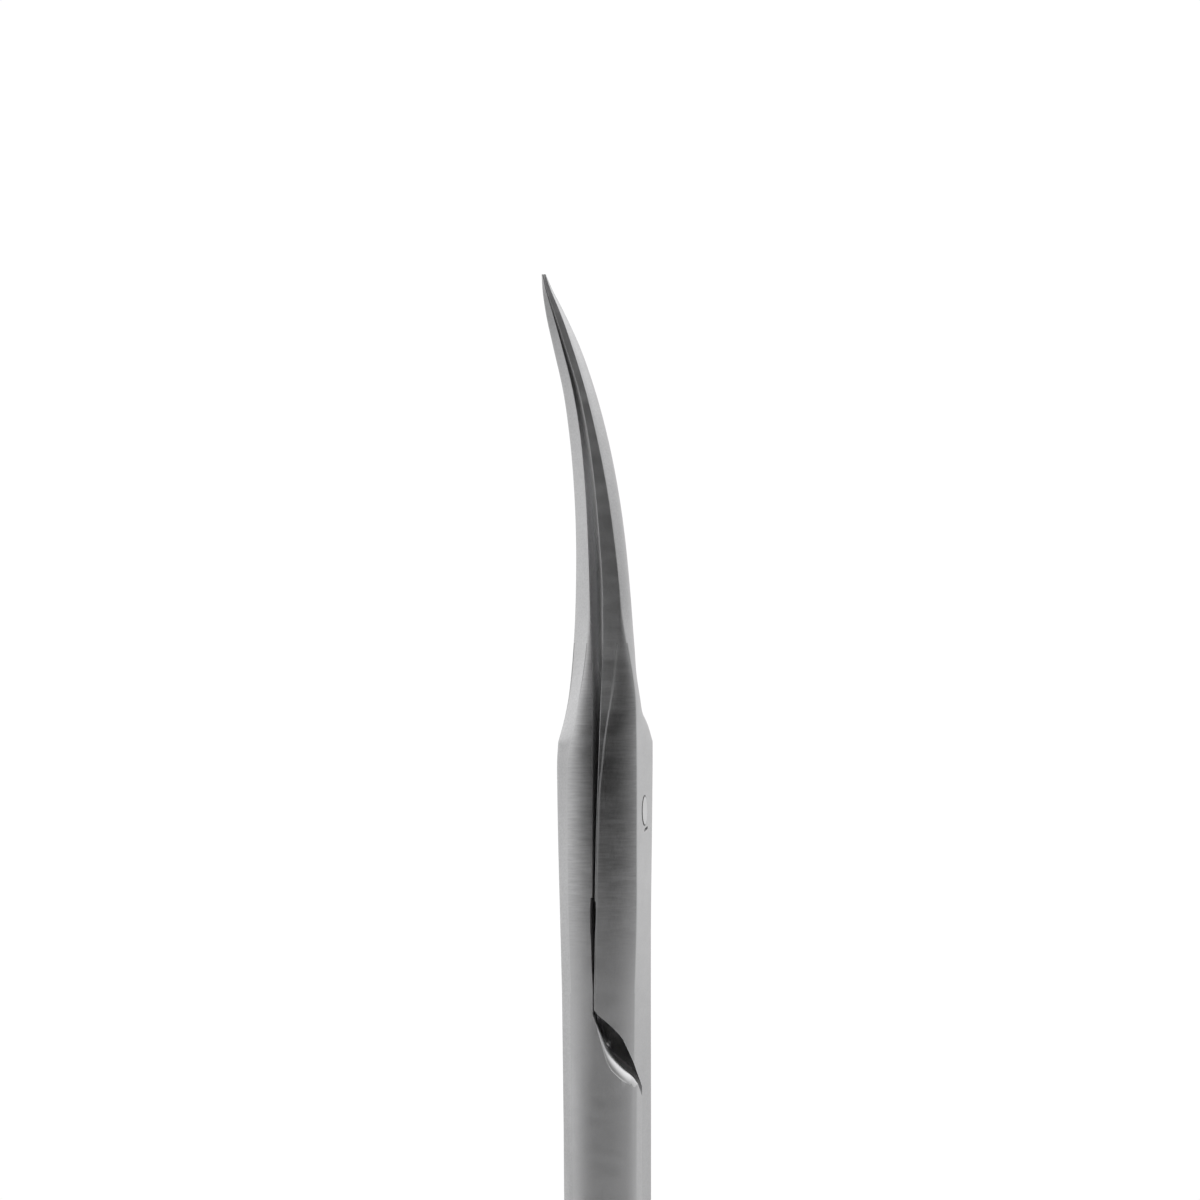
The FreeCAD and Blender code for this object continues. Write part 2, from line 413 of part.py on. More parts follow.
def make_half(label, side, blade, block, shank, relief, outer):
    """One forging. side is the Y side of its handle, outer the X side of its outer face."""
    d = DIM
    tag = label
    body = doc.addObject("PartDesign::Body", label)
    body.Label = label

    # finger ring and lower shank: plan outline, finger hole, rounded edges
    sk, (yc, zc) = ring_outline(body, tag + "_ring_plan", side)
    pad = body.newObject("PartDesign::Pad", tag + "_ring")
    pad.Profile = sk
    pad.SideType = "Symmetric"
    pad.setExpression("Length", "dims.ring_thick")
    doc.recompute()
    hole = new_sketch(body, tag + "_finger_hole", "YZ_Plane")
    hole.addGeometry(Part.Circle(Vector(yc, zc, 0), Vector(0, 0, 1), d["ring_inner_rad"]), False)
    hole.addConstraint([
        Sketcher.Constraint("DistanceX", -1, 1, 0, 3, yc),
        Sketcher.Constraint("DistanceY", -1, 1, 0, 3, zc),
        Sketcher.Constraint("Radius", 0, d["ring_inner_rad"]),
    ])
    sgn = "-" if side < 0 else ""
    for k, nm, ex in ((0, "cy", "%s(dims.half_gap + dims.ring_outer_rad)" % sgn),
                      (1, "cz", "-dims.ring_centre_drop"), (2, "bore", "dims.ring_inner_rad")):
        hole.renameConstraint(k, nm)
        hole.setExpression("Constraints." + nm, ex)
    before = body.Shape.Volume
    pk = body.newObject("PartDesign::Pocket", tag + "_finger_bore")
    pk.Profile = hole
    pk.Type = "ThroughAll"
    pk.SideType = "Symmetric"
    doc.recompute()
    if body.Shape.Volume >= before - 1:
        raise RuntimeError("the finger hole removes nothing")
    top = -d["shank_end_drop"]
    names = edges_at(body.Shape, lambda e: abs(abs(e.BoundBox.XMin) - d["ring_thick"] / 2) < 1e-4
                     and e.BoundBox.XLength < 1e-4 and not (e.BoundBox.ZLength < 1e-4 and abs(e.BoundBox.ZMin - top) < 1e-3))
    fil = body.newObject("PartDesign::Fillet", tag + "_ring_rounding")
    fil.Base = (pk, names)
    fil.setExpression("Radius", "dims.ring_round")
    doc.recompute()

    # shank
    add_loft(body, tag + "_shank", level_sketches(body, tag + "_shank_level", shank, 9, SHANK_ARCS))

    # full-thickness block, cut back where the other half lies
    add_loft(body, tag + "_block", level_sketches(body, tag + "_block_level", block, 9, BLOCK_ARCS))
    prof = cut_profiles(side, outer, relief)
    slope, ssl = d["ramp_slope"], d["scoop_slope"]
    # lap side: everything on the other half's side above the concave ramp
    sk = new_sketch(body, tag + "_ramp_profile", "XZ_Plane", -4.0 * side)
    ramp_outline(sk, prof["ramp"], tag + "_ramp")
    cut(body, tag + "_ramp", sk, Vector(0, -side, -slope), 12.0)
    # scoop on the handle side of the ramp
    sk = polygon_sketch(body, tag + "_scoop_profile", "XZ_Plane", -3.6 * side, prof["scoop"], tag + "_scoop")
    cut(body, tag + "_scoop", sk, Vector(0, -side, ssl), 9.0)
    # other half's shank side
    sk = polygon_sketch(body, tag + "_lap_end_profile", "XZ_Plane", 3.6 * side, prof["lap_end"], tag + "_lap_end")
    across = 3.6 + d["shank_gap"]
    cut(body, tag + "_lap_end", sk, Vector(0, side, -slope), across * math.sqrt(1 + slope * slope))

    # blade and lap
    add_loft(body, tag + "_blade", level_sketches(body, tag + "_blade_level", blade, 6, BLADE_ARCS), ruled=True)

    # shallow relief behind the pivot
    sk = polygon_sketch(body, tag + "_relief_profile", "XZ_Plane", 5.0, prof["relief"], tag + "_relief")
    cut(body, tag + "_relief", sk, Vector(0, 1, 0), 10.0)
    return body


def ramp_outline(sk, pts, tag):
    """The ramp's cut: three straight sides and one concave arc, from the lap face down and out."""
    p, q = pts[1], pts[2]
    rad = DIM["ramp_rad"]
    mx, my = (p[0] + q[0]) / 2, (p[1] + q[1]) / 2
    dx, dy = q[0] - p[0], q[1] - p[1]
    chord = math.hypot(dx, dy)
    hgt = math.sqrt(rad * rad - chord * chord / 4)
    best = None
    for sg in (1, -1):
        c = (mx - sg * dy / chord * hgt, my + sg * dx / chord * hgt)
        if best is None or c[1] > best[1]:
            best = c
    cx, cy = best
    a0, a1 = math.atan2(p[1] - cy, p[0] - cx), math.atan2(q[1] - cy, q[0] - cx)
    ccw = ((a1 - a0) % (2 * math.pi)) < math.pi
    if ccw:
        if a1 < a0:
            a1 += 2 * math.pi
        arc = Part.ArcOfCircle(Part.Circle(Vector(cx, cy, 0), Vector(0, 0, 1), rad), a0, a1)
        first, last = 1, 2
    else:
        if a0 < a1:
            a0 += 2 * math.pi
        arc = Part.ArcOfCircle(Part.Circle(Vector(cx, cy, 0), Vector(0, 0, 1), rad), a1, a0)
        first, last = 2, 1
    v = [Vector(x, y, 0) for x, y in pts]
    sk.addGeometry([Part.LineSegment(v[0], v[1]), arc, Part.LineSegment(v[2], v[3]), Part.LineSegment(v[3], v[0])], False)
    K = Sketcher.Constraint
    sk.addConstraint([
        K("Coincident", 0, 2, 1, first), K("Coincident", 1, last, 2, 1),
        K("Coincident", 2, 2, 3, 1), K("Coincident", 3, 2, 0, 1),
        K("DistanceX", -1, 1, 0, 1, pts[0][0]), K("DistanceY", -1, 1, 0, 1, pts[0][1]),
        K("DistanceX", -1, 1, 0, 2, pts[1][0]), K("DistanceY", -1, 1, 0, 2, pts[1][1]),
        K("DistanceX", -1, 1, 2, 1, pts[2][0]), K("DistanceY", -1, 1, 2, 1, pts[2][1]),
        K("DistanceX", -1, 1, 2, 2, pts[3][0]), K("DistanceY", -1, 1, 2, 2, pts[3][1]),
        K("Radius", 1, rad),
    ])
    for k in range(4):
        for j, ax in enumerate("xy"):
            nm = "p%s%d" % (ax, k)
            sk.renameConstraint(4 + 2 * k + j, nm)
            sk.setExpression("Constraints." + nm, "dims.%s_%s%d" % (tag, ax, k))
    sk.renameConstraint(12, "bend")
    sk.setExpression("Constraints.bend", "dims.ramp_rad")


def axis_profile(body, name, pts, exprs):
    """A closed half-profile (x along the pivot axis, radius) on the XZ plane, for turning."""
    sk = new_sketch(body, name, "XZ_Plane")
    n = len(pts)
    sk.addGeometry([Part.LineSegment(Vector(*pts[i], 0), Vector(*pts[(i + 1) % n], 0)) for i in range(n)], False)
    cons = [Sketcher.Constraint("Coincident", i, 2, (i + 1) % n, 1) for i in range(n)]
    for i in range(n):
        cons.append(Sketcher.Constraint("DistanceX", -1, 1, i, 1, pts[i][0]))
        cons.append(Sketcher.Constraint("DistanceY", -1, 1, i, 1, pts[i][1]))
    sk.addConstraint(cons)
    for i in range(n):
        for j, ax in enumerate("xy"):
            ex = exprs[i][j]
            if ex:
                nm = "q%s%d" % (ax, i)
                sk.renameConstraint(n + 2 * i + j, nm)
                sk.setExpression("Constraints." + nm, ex)
    return sk


def turn(body, name, kind, sk):
    before = body.Shape.Volume if body.Shape and not body.Shape.isNull() else 0
    g = body.newObject(kind, name)
    g.Profile = sk
    g.ReferenceAxis = (sk, ["H_Axis"])
    g.Angle = 360.0
    doc.recompute()
    if kind.endswith("Groove") and body.Shape.Volume >= before - 1e-6:
        raise RuntimeError("the turned hole %s removes nothing" % name)
    return g


# ---------------------------------------------------------------- the two halves
D = DIM
HALVES = [
    ("left_half", -1, finer(LEFT, 1.0), LEFT_BLOCK, LEFT_SHANK, RELIEF_LEFT, -1),
    ("right_half", 1, finer(RIGHT, 1.0), RIGHT_BLOCK, RIGHT_SHANK, RELIEF_RIGHT, 1),
]
for tag, side, blade, block, shank, relief, outer in HALVES:
    enter_levels(tag + "_shank_level", shank, 9, SHANK_ARCS)
    enter_levels(tag + "_block_level", block, 9, BLOCK_ARCS)
    enter_levels(tag + "_blade_level", blade, 6, BLADE_ARCS)
    for key, pts in cut_profiles(side, outer, relief).items():
        enter_points("%s_%s" % (tag, key), pts)


def slanted_bar(cx, cy, length, width, degrees):
    """Corners of a bar of that length and width, turned about its middle."""
    a = math.radians(degrees)
    return [(cx + u * math.cos(a) - v * math.sin(a), cy + u * math.sin(a) + v * math.cos(a))
            for u, v in ((-length / 2, -width / 2), (length / 2, -width / 2), (length / 2, width / 2), (-length / 2, width / 2))]


stake = slanted_bar(0.46, -0.96, D["stake_long"], D["stake_wide"], 9)
slot = slanted_bar(0.0, 0.0, 4.4, D["screw_slot_wide"], 35)
enter_points("stake", stake)
enter_points("slot", slot)
doc.recompute()

left, right = [make_half(*h) for h in HALVES]

# pivot hole of the left half: plain bearing hole with a seat for the screw head
sk = axis_profile(left, "left_half_pivot_profile", [
    (0.5, 0.0), (0.5, D["screw_bore_rad"]), (-D["screw_seat_floor"], D["screw_bore_rad"]),
    (-D["screw_seat_floor"], D["screw_head_seat"]), (-2.04, D["screw_head_seat"]), (-2.16, D["screw_head_seat"] + 0.12), (-2.6, D["screw_head_seat"] + 0.12), (-2.6, 0.0)],
    [(None, None), (None, "dims.screw_bore_rad"), ("-dims.screw_seat_floor", "dims.screw_bore_rad"),
     ("-dims.screw_seat_floor", "dims.screw_head_seat"), (None, "dims.screw_head_seat"), (None, "dims.screw_head_seat + 0.12"), (None, "dims.screw_head_seat + 0.12"), (None, None)])
turn(left, "left_half_pivot_hole", "PartDesign::Groove", sk)

# pivot hole of the right half: seat for the screw's shoulder, then the hole its end fills
sk = axis_profile(right, "right_half_pivot_profile", [
    (-0.5, 0.0), (-0.5, D["screw_bore_rad"]), (D["screw_shoulder_seat"], D["screw_bore_rad"]),
    (D["screw_shoulder_seat"], D["screw_end_bore"]), (2.08, D["screw_end_bore"]), (2.16, D["screw_end_bore"] + 0.02), (2.6, D["screw_end_bore"] + 0.02), (2.6, 0.0)],
    [(None, None), (None, "dims.screw_bore_rad"), ("dims.screw_shoulder_seat", "dims.screw_bore_rad"),
     ("dims.screw_shoulder_seat", "dims.screw_end_bore"), (None, "dims.screw_end_bore"), (None, "dims.screw_end_bore + 0.02"), (None, "dims.screw_end_bore + 0.02"), (None, None)])
turn(right, "right_half_pivot_hole", "PartDesign::Groove", sk)

# staking nick beside the screw's end, which keeps it from turning
sk = polygon_sketch(right, "right_half_stake_plan", "YZ_Plane", 2.4, stake, "stake")
cut(right, "right_half_stake", sk, Vector(-1, 0, 0), 0.30 + D["stake_deep"])

# ---------------------------------------------------------------- pivot screw
screw = doc.addObject("PartDesign::Body", "pivot_screw")
screw.Label = "pivot_screw"
sk = axis_profile(screw, "pivot_screw_profile", [
    (-D["screw_head_face"], 0.0), (-D["screw_head_face"], D["screw_head_rad"] - 0.12), (-D["screw_head_face"] + 0.12, D["screw_head_rad"]),
    (-D["screw_head_under"], D["screw_head_rad"]), (-D["screw_head_under"], D["screw_shoulder_rad"]),
    (D["screw_shoulder_end"], D["screw_shoulder_rad"]), (D["screw_shoulder_end"], D["screw_end_rad"]),
    (D["screw_tip_face"] - 0.05, D["screw_end_rad"]), (D["screw_tip_face"], D["screw_end_rad"] - 0.06), (D["screw_tip_face"], 0.0)],
    [("-dims.screw_head_face", None), ("-dims.screw_head_face", "dims.screw_head_rad - 0.12"), ("-dims.screw_head_face + 0.12", "dims.screw_head_rad"),
     ("-dims.screw_head_under", "dims.screw_head_rad"), ("-dims.screw_head_under", "dims.screw_shoulder_rad"),
     ("dims.screw_shoulder_end", "dims.screw_shoulder_rad"), ("dims.screw_shoulder_end", "dims.screw_end_rad"),
     ("dims.screw_tip_face - 0.05", "dims.screw_end_rad"), ("dims.screw_tip_face", "dims.screw_end_rad - 0.06"), ("dims.screw_tip_face", None)])
turn(screw, "pivot_screw_body", "PartDesign::Revolution", sk)
sk = polygon_sketch(screw, "pivot_screw_slot_plan", "YZ_Plane", -2.6, slot, "slot")
cut(screw, "pivot_screw_slot", sk, Vector(1, 0, 0), 2.6 - D["screw_head_face"] + D["screw_slot_deep"])

# ---------------------------------------------------------------- place, check and write
bodies = [left, right, screw]
for b in bodies:
    b.setExpression("Placement.Base.x", "dims.pivot_offset")
    b.setExpression("Placement.Base.z", "dims.pivot_height")
doc.recompute()
for ob in doc.Objects:
    if "Invalid" in ob.State or "Error" in ob.State:
        raise RuntimeError("%s failed: %s" % (ob.Name, ob.State))
for b in bodies:
    sh = b.Shape
    if sh.isNull() or not sh.isValid() or len(sh.Solids) != 1 or sh.Volume <= 0:
        raise RuntimeError("%s is not one sound solid (%d solids, valid %s)" % (b.Label, len(sh.Solids), sh.isValid()))
os.makedirs("parts", exist_ok=True)
for b in bodies:
    b.Shape.exportStep("parts/%s.step" % b.Label)
    bb = b.Shape.BoundBox
    print(b.Label, "volume %.2f" % b.Shape.Volume, "box", [round(v, 3) for v in (bb.XMin, bb.YMin, bb.ZMin, bb.XMax, bb.YMax, bb.ZMax)])
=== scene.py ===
import bpy
import bmesh
import math
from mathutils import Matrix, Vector


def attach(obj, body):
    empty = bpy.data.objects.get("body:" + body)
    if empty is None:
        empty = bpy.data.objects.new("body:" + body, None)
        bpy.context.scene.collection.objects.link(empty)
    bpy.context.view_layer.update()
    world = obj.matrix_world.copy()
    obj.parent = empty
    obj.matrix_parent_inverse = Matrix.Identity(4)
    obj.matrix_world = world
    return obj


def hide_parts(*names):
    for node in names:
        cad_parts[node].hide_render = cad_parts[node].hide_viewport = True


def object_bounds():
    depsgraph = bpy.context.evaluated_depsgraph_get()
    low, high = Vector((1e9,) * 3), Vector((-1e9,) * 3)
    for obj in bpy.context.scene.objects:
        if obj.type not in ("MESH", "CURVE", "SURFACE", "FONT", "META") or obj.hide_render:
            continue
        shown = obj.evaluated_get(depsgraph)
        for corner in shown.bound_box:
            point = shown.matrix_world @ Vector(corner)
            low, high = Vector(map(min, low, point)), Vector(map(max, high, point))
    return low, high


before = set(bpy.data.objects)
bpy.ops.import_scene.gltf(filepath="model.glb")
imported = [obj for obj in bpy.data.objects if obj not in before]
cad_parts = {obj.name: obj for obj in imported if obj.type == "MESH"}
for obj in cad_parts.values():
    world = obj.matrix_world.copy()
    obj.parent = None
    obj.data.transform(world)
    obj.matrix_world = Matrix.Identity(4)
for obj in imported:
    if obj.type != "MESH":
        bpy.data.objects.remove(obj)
cad_box = [list(c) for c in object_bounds()]

# The forgings are drawn in millimetres about the pivot, the way the CAD sections are, and then
# moved to the row frame in metres.
PIVOT = (0.6095, 0.0, 72.0)
MM = 0.001

# ------------------------------------------------------------------ section tables (mm)
RIGHT = [
    (-9.5, 0.030, -3.380, 0.175, -3.370, 1.950, -2.000, 2.059, 2.250, 1.510, 2.696, 0.030, 3.380, 0.1746, 0.0700, 0.0000),
    (-5.5, 0.067, -3.380, 0.177, -3.370, 2.090, -2.200, 2.052, 2.326, 1.501, 2.749, 0.030, 3.380, 0.1350, 0.0700, 0.0000),
    (-1.5, 0.134, -3.380, 0.244, -3.370, 2.122, -2.303, 2.088, 2.385, 1.523, 2.792, 0.030, 3.380, 0.1280, 0.0700, 0.0000),
    (1.2, 0.216, -3.370, 0.340, -3.360, 2.123, -2.300, 2.112, 2.410, 1.538, 2.805, 0.030, 3.360, 0.1280, 0.0700, 0.0000),
    (2.7, 0.266, -3.326, 0.487, -3.316, 2.119, -2.300, 2.124, 2.419, 1.524, 2.789, -0.027, 3.274, 0.1280, 0.0700, 0.0000),
    (3.6, 0.290, -3.259, 0.568, -3.249, 2.114, -2.300, 2.126, 2.401, 1.481, 2.761, -0.047, 3.163, 0.1280, 0.0700, 0.0000),
    (4.6, 0.305, -3.143, 0.687, -3.133, 2.101, -2.327, 1.953, 1.600, 1.161, 2.634, -0.074, 3.016, 0.1280, 0.0650, 0.0131),
    (5.7, 0.314, -2.980, 0.844, -2.970, 2.068, -2.378, 1.479, 0.950, 0.807, 2.527, -0.107, 2.832, 0.1260, 0.0600, 0.0747),
    (7.0, 0.331, -2.780, 0.992, -2.770, 1.920, -2.399, 1.243, 0.450, 0.545, 2.355, -0.117, 2.602, 0.1200, 0.0550, 0.0972),
    (8.4, 0.347, -2.575, 1.069, -2.565, 1.669, -2.358, 1.378, 0.100, 0.324, 2.212, -0.138, 2.357, 0.1100, 0.0500, 0.1063),
    (10.0, 0.314, -2.370, 1.196, -2.360, 1.385, -2.240, 1.446, -0.200, 0.047, 2.038, -0.190, 2.100, 0.0900, 0.0450, 0.1063),
    (12.0, 0.240, -2.140, 1.073, -2.110, 1.133, -2.080, 1.342, -0.300, -0.198, 1.836, -0.256, 1.850, 0.0800, 0.0400, 0.1063),
    (14.4, 0.028, -1.878, 0.765, -1.859, 0.816, -1.829, 1.114, -0.320, -0.321, 1.576, -0.366, 1.587, 0.0800, 0.0400, 0.1063),
    (17.0, -0.256, -1.588, 0.341, -1.568, 0.382, -1.538, 0.723, -0.280, -0.522, 1.288, -0.562, 1.297, 0.0800, 0.0400, 0.1063),
    (19.6, -0.667, -1.292, -0.226, -1.275, -0.194, -1.245, 0.178, -0.220, -0.851, 0.995, -0.885, 1.003, 0.0800, 0.0400, 0.1063),
    (22.0, -1.218, -1.005, -0.863, -0.997, -0.840, -0.967, -0.496, -0.150, -1.363, 0.730, -1.391, 0.734, 0.0800, 0.0400, 0.1063),
    (24.2, -1.958, -0.715, -1.596, -0.711, -1.578, -0.684, -1.292, -0.090, -2.016, 0.494, -2.043, 0.496, 0.0800, 0.0400, 0.1063),
    (26.0, -2.591, -0.461, -2.287, -0.457, -2.269, -0.431, -2.140, -0.040, -2.622, 0.278, -2.645, 0.278, 0.0800, 0.0400, 0.1063),
    (27.3, -3.063, -0.249, -2.868, -0.245, -2.850, -0.219, -2.824, 0.000, -3.055, 0.126, -3.075, 0.126, 0.0800, 0.0400, 0.1063),
    (28.0, -3.215, -0.120, -3.130, -0.114, -3.120, -0.090, -3.140, 0.020, -3.208, 0.052, -3.227, 0.050, 0.0800, 0.0400, 0.1063),
]
LEFT = [
    (-9.5, -0.030, 3.380, -0.175, 3.370, -1.880, 2.000, -1.861, -2.300, -1.307, -2.750, -0.030, -3.380, 0.1746, 0.0700, 0.0000),
    (-5.5, -0.045, 3.380, -0.161, 3.370, -2.018, 2.200, -1.965, -2.300, -1.438, -2.750, -0.057, -3.380, 0.1350, 0.0700, 0.0000),
    (-1.5, -0.087, 3.380, -0.207, 3.370, -2.105, 2.303, -2.067, -2.300, -1.500, -2.750, -0.067, -3.380, 0.1280, 0.0700, 0.0000),
    (1.2, -0.150, 3.370, -0.330, 3.360, -2.120, 2.300, -2.113, -2.300, -1.504, -2.750, -0.072, -3.360, 0.1280, 0.0700, 0.0000),
    (2.7, -0.212, 3.326, -0.479, 3.316, -2.120, 2.300, -2.119, -2.300, -1.458, -2.750, -0.087, -3.274, 0.1280, 0.0700, 0.0000),
    (3.6, -0.255, 3.259, -0.588, 3.249, -2.120, 2.300, -2.067, -2.277, -1.316, -2.741, -0.107, -3.163, 0.1280, 0.0700, 0.0000),
    (4.6, -0.302, 3.143, -0.726, 3.133, -2.099, 2.327, -1.813, -2.116, -1.073, -2.720, -0.134, -3.016, 0.1280, 0.0700, 0.0000),
    (5.7, -0.356, 2.980, -0.890, 2.970, -2.035, 2.378, -1.603, -1.931, -0.915, -2.612, -0.167, -2.832, 0.1260, 0.0650, 0.0200),
    (7.0, -0.428, 2.780, -1.065, 2.770, -1.880, 2.399, -1.461, -1.732, -0.728, -2.430, -0.217, -2.602, 0.1200, 0.0600, 0.0300),
    (8.4, -0.513, 2.575, -1.263, 2.565, -1.704, 2.358, -1.386, -1.547, -0.579, -2.243, -0.288, -2.357, 0.1100, 0.0550, 0.0300),
    (10.0, -0.503, 2.370, -1.449, 2.360, -1.580, 2.240, -1.336, -1.330, -0.505, -2.030, -0.390, -2.100, 0.0900, 0.0500, 0.0300),
    (12.0, -0.495, 2.140, -1.450, 2.110, -1.510, 2.080, -1.334, -1.060, -0.532, -1.815, -0.486, -1.850, 0.0800, 0.0400, 0.0300),
    (14.4, -0.612, 1.878, -1.516, 1.859, -1.567, 1.829, -1.381, -0.821, -0.658, -1.553, -0.616, -1.587, 0.0800, 0.0400, 0.0300),
    (17.0, -0.792, 1.588, -1.679, 1.568, -1.720, 1.538, -1.533, -0.599, -0.852, -1.266, -0.812, -1.297, 0.0800, 0.0400, 0.0300),
    (19.6, -1.096, 1.292, -1.946, 1.275, -1.977, 1.245, -1.795, -0.410, -1.153, -0.977, -1.115, -1.003, 0.0800, 0.0400, 0.0300),
    (22.0, -1.544, 1.005, -2.301, 0.997, -2.324, 0.967, -2.172, -0.269, -1.605, -0.715, -1.571, -0.734, 0.0800, 0.0400, 0.0300),
    (24.2, -2.180, 0.715, -2.781, 0.711, -2.799, 0.684, -2.704, -0.168, -2.204, -0.483, -2.173, -0.496, 0.0800, 0.0400, 0.0300),
    (26.0, -2.737, 0.461, -3.146, 0.457, -3.164, 0.431, -3.118, -0.088, -2.748, -0.268, -2.725, -0.278, 0.0800, 0.0400, 0.0300),
    (27.3, -3.140, 0.249, -3.307, 0.245, -3.325, 0.219, -3.309, -0.031, -3.152, -0.118, -3.135, -0.126, 0.0800, 0.0400, 0.0300),
    (28.0, -3.262, 0.110, -3.340, 0.104, -3.360, 0.080, -3.350, 0.000, -3.308, -0.042, -3.287, -0.050, 0.0800, 0.0400, 0.0300),
]
LEFT_BLOCK = [
    (-16.5, -1.7750, -2.3000, -1.2700, -2.7500, -0.0300, -3.3800, 1.8500, -2.3500, 2.0000, -1.8000, 2.0000, 2.8000, -0.0300, 3.3800, -0.1750, 3.3700, -1.7800, 2.0000, 0.11970, 0.12470, 0.06990, 0.17200),
    (-9.5, -1.8610, -2.3000, -1.3070, -2.7500, -0.0300, -3.3800, 1.9000, -2.3500, 2.0400, -1.8000, 2.0000, 2.8200, -0.0300, 3.3800, -0.1750, 3.3700, -1.8800, 2.0000, 0.07000, 0.12240, 0.06760, 0.17460),
]
RIGHT_BLOCK = [
    (-16.5, 2.0600, 2.3000, 1.5000, 2.7500, 0.0300, 3.3800, -1.8500, 2.3500, -2.0000, 1.8000, -2.0000, -2.8000, 0.0300, -3.3800, 0.1750, -3.3700, 1.8750, -2.0000, 0.10260, 0.12470, 0.06990, 0.17200),
    (-9.5, 2.0590, 2.2500, 1.5100, 2.6960, 0.0300, 3.3800, -1.9000, 2.3500, -2.0400, 1.8000, -2.0000, -2.8200, 0.0300, -3.3800, 0.1750, -3.3700, 1.9500, -2.0000, 0.07000, 0.12240, 0.06760, 0.17460),
]
LEFT_SHANK = [
    (-36.0, -1.6000, -1.5000, -1.6000, -2.2000, -0.4000, -3.4000, 0.0000, -3.4000, 0.4000, -3.4000, 1.6000, -2.2000, 1.6000, -1.5000, 0.4000, -0.3000, -0.4000, -0.3000, 0.20711, 0.00000, 0.00000, 0.20711, 0.20711, 0.20711),
    (-29.5, -1.6600, -0.9000, -1.6600, -2.3300, -0.7200, -3.2400, 0.0600, -3.3660, 0.9800, -3.1600, 1.8000, -2.2400, 1.8000, -0.9000, 1.1200, -0.2200, -0.9800, -0.2200, 0.18000, 0.04010, 0.05530, 0.16000, 0.20600, 0.20600),
    (-22.5, -1.7300, -0.0900, -1.7300, -2.2900, -1.1200, -2.8800, 0.1000, -3.3700, 1.7200, -2.5000, 1.9700, -1.8500, 1.9700, -0.0900, 1.9200, -0.0400, -1.6800, -0.0400, 0.09000, 0.09660, 0.12010, 0.06140, 0.20400, 0.20400),
    (-16.5, -1.7776, -0.0800, -1.7750, -2.3000, -1.2700, -2.7500, -0.0300, -3.3800, 1.8500, -2.3500, 2.0000, -1.8000, 2.0000, -0.0800, 1.9500, -0.0300, -1.7276, -0.0300, 0.00000, 0.11970, 0.12470, 0.00000, 0.20000, 0.20000),
]
RIGHT_SHANK = [
    (-36.0, 1.6000, 1.5000, 1.6000, 2.2000, 0.4000, 3.4000, 0.0000, 3.4000, -0.4000, 3.4000, -1.6000, 2.2000, -1.6000, 1.5000, -0.4000, 0.3000, 0.4000, 0.3000, 0.20711, 0.00000, 0.00000, 0.20711, 0.20711, 0.20711),
    (-29.5, 1.8400, 0.9000, 1.8400, 2.3300, 0.9000, 3.2400, 0.0000, 3.3660, -0.9800, 3.1600, -1.8000, 2.2400, -1.8000, 0.9000, -1.1200, 0.2200, 1.1600, 0.2200, 0.18000, 0.03480, 0.05350, 0.16000, 0.20600, 0.20600),
    (-22.5, 1.9450, 0.0900, 2.0400, 2.2900, 1.4300, 2.8800, 0.0000, 3.3700, -1.7200, 2.5000, -1.9700, 1.8500, -1.9700, 0.0900, -1.9200, 0.0400, 1.8950, 0.0400, 0.09000, 0.08320, 0.11720, 0.06140, 0.20400, 0.20400),
    (-16.5, 1.9645, 0.0800, 2.0600, 2.3000, 1.5000, 2.7500, 0.0300, 3.3800, -1.8500, 2.3500, -2.0000, 1.8000, -2.0000, 0.0800, -1.9500, 0.0300, 1.9145, 0.0300, 0.00000, 0.10260, 0.12470, 0.00000, 0.20000, 0.20000),
]
LAP_END = [(0.0, 10.52), (0.30, 10.86), (0.863, 11.29), (1.40, 11.72), (1.575, 12.0), (1.887, 12.58), (2.40, 13.55)]
RELIEF_LEFT = [(-4.5, 0.150), (-5.2, 0.178), (-6.2, 0.170), (-6.9, 0.128), (-7.8, 0.100), (-8.8, 0.060), (-9.3, 0.026)]
RELIEF_RIGHT = [(-4.7, 0.115), (-5.2, 0.140), (-5.9, 0.120), (-6.8, 0.080), (-8.4, 0.055), (-9.3, 0.026)]

GAP, RING_OUT, RING_IN, RING_DROP = 0.3, 13.7, 10.6, 58.3
SHANK_W, CROTCH, RING_HALF, RING_ROUND, SHANK_END = 3.1, 6.0, 1.6, 1.2, 36.0
SLOPE, SCOOP, RAMP_R = 0.547, 1.6, 5.5

# Material slots of a forging.
SATIN, SIDE, FLANK, INNER, CUT, EDGE = range(6)
CORNER = 20  # label of the rounded corner before side k is CORNER + k
SHANK_Y = -0.08  # where the shank's side starts to round into its inner face, at the joint


# ------------------------------------------------------------------ tables and curves
def turned(rows, corners):
    """A table turned half round the long axis, so both halves are drawn in the left half's frame."""
    return [tuple([r[0]] + [-v for v in r[1:1 + 2 * corners]] + list(r[1 + 2 * corners:])) for r in rows]


KINK = 3.6  # height of the blades' shoulders, where the outer face turns in


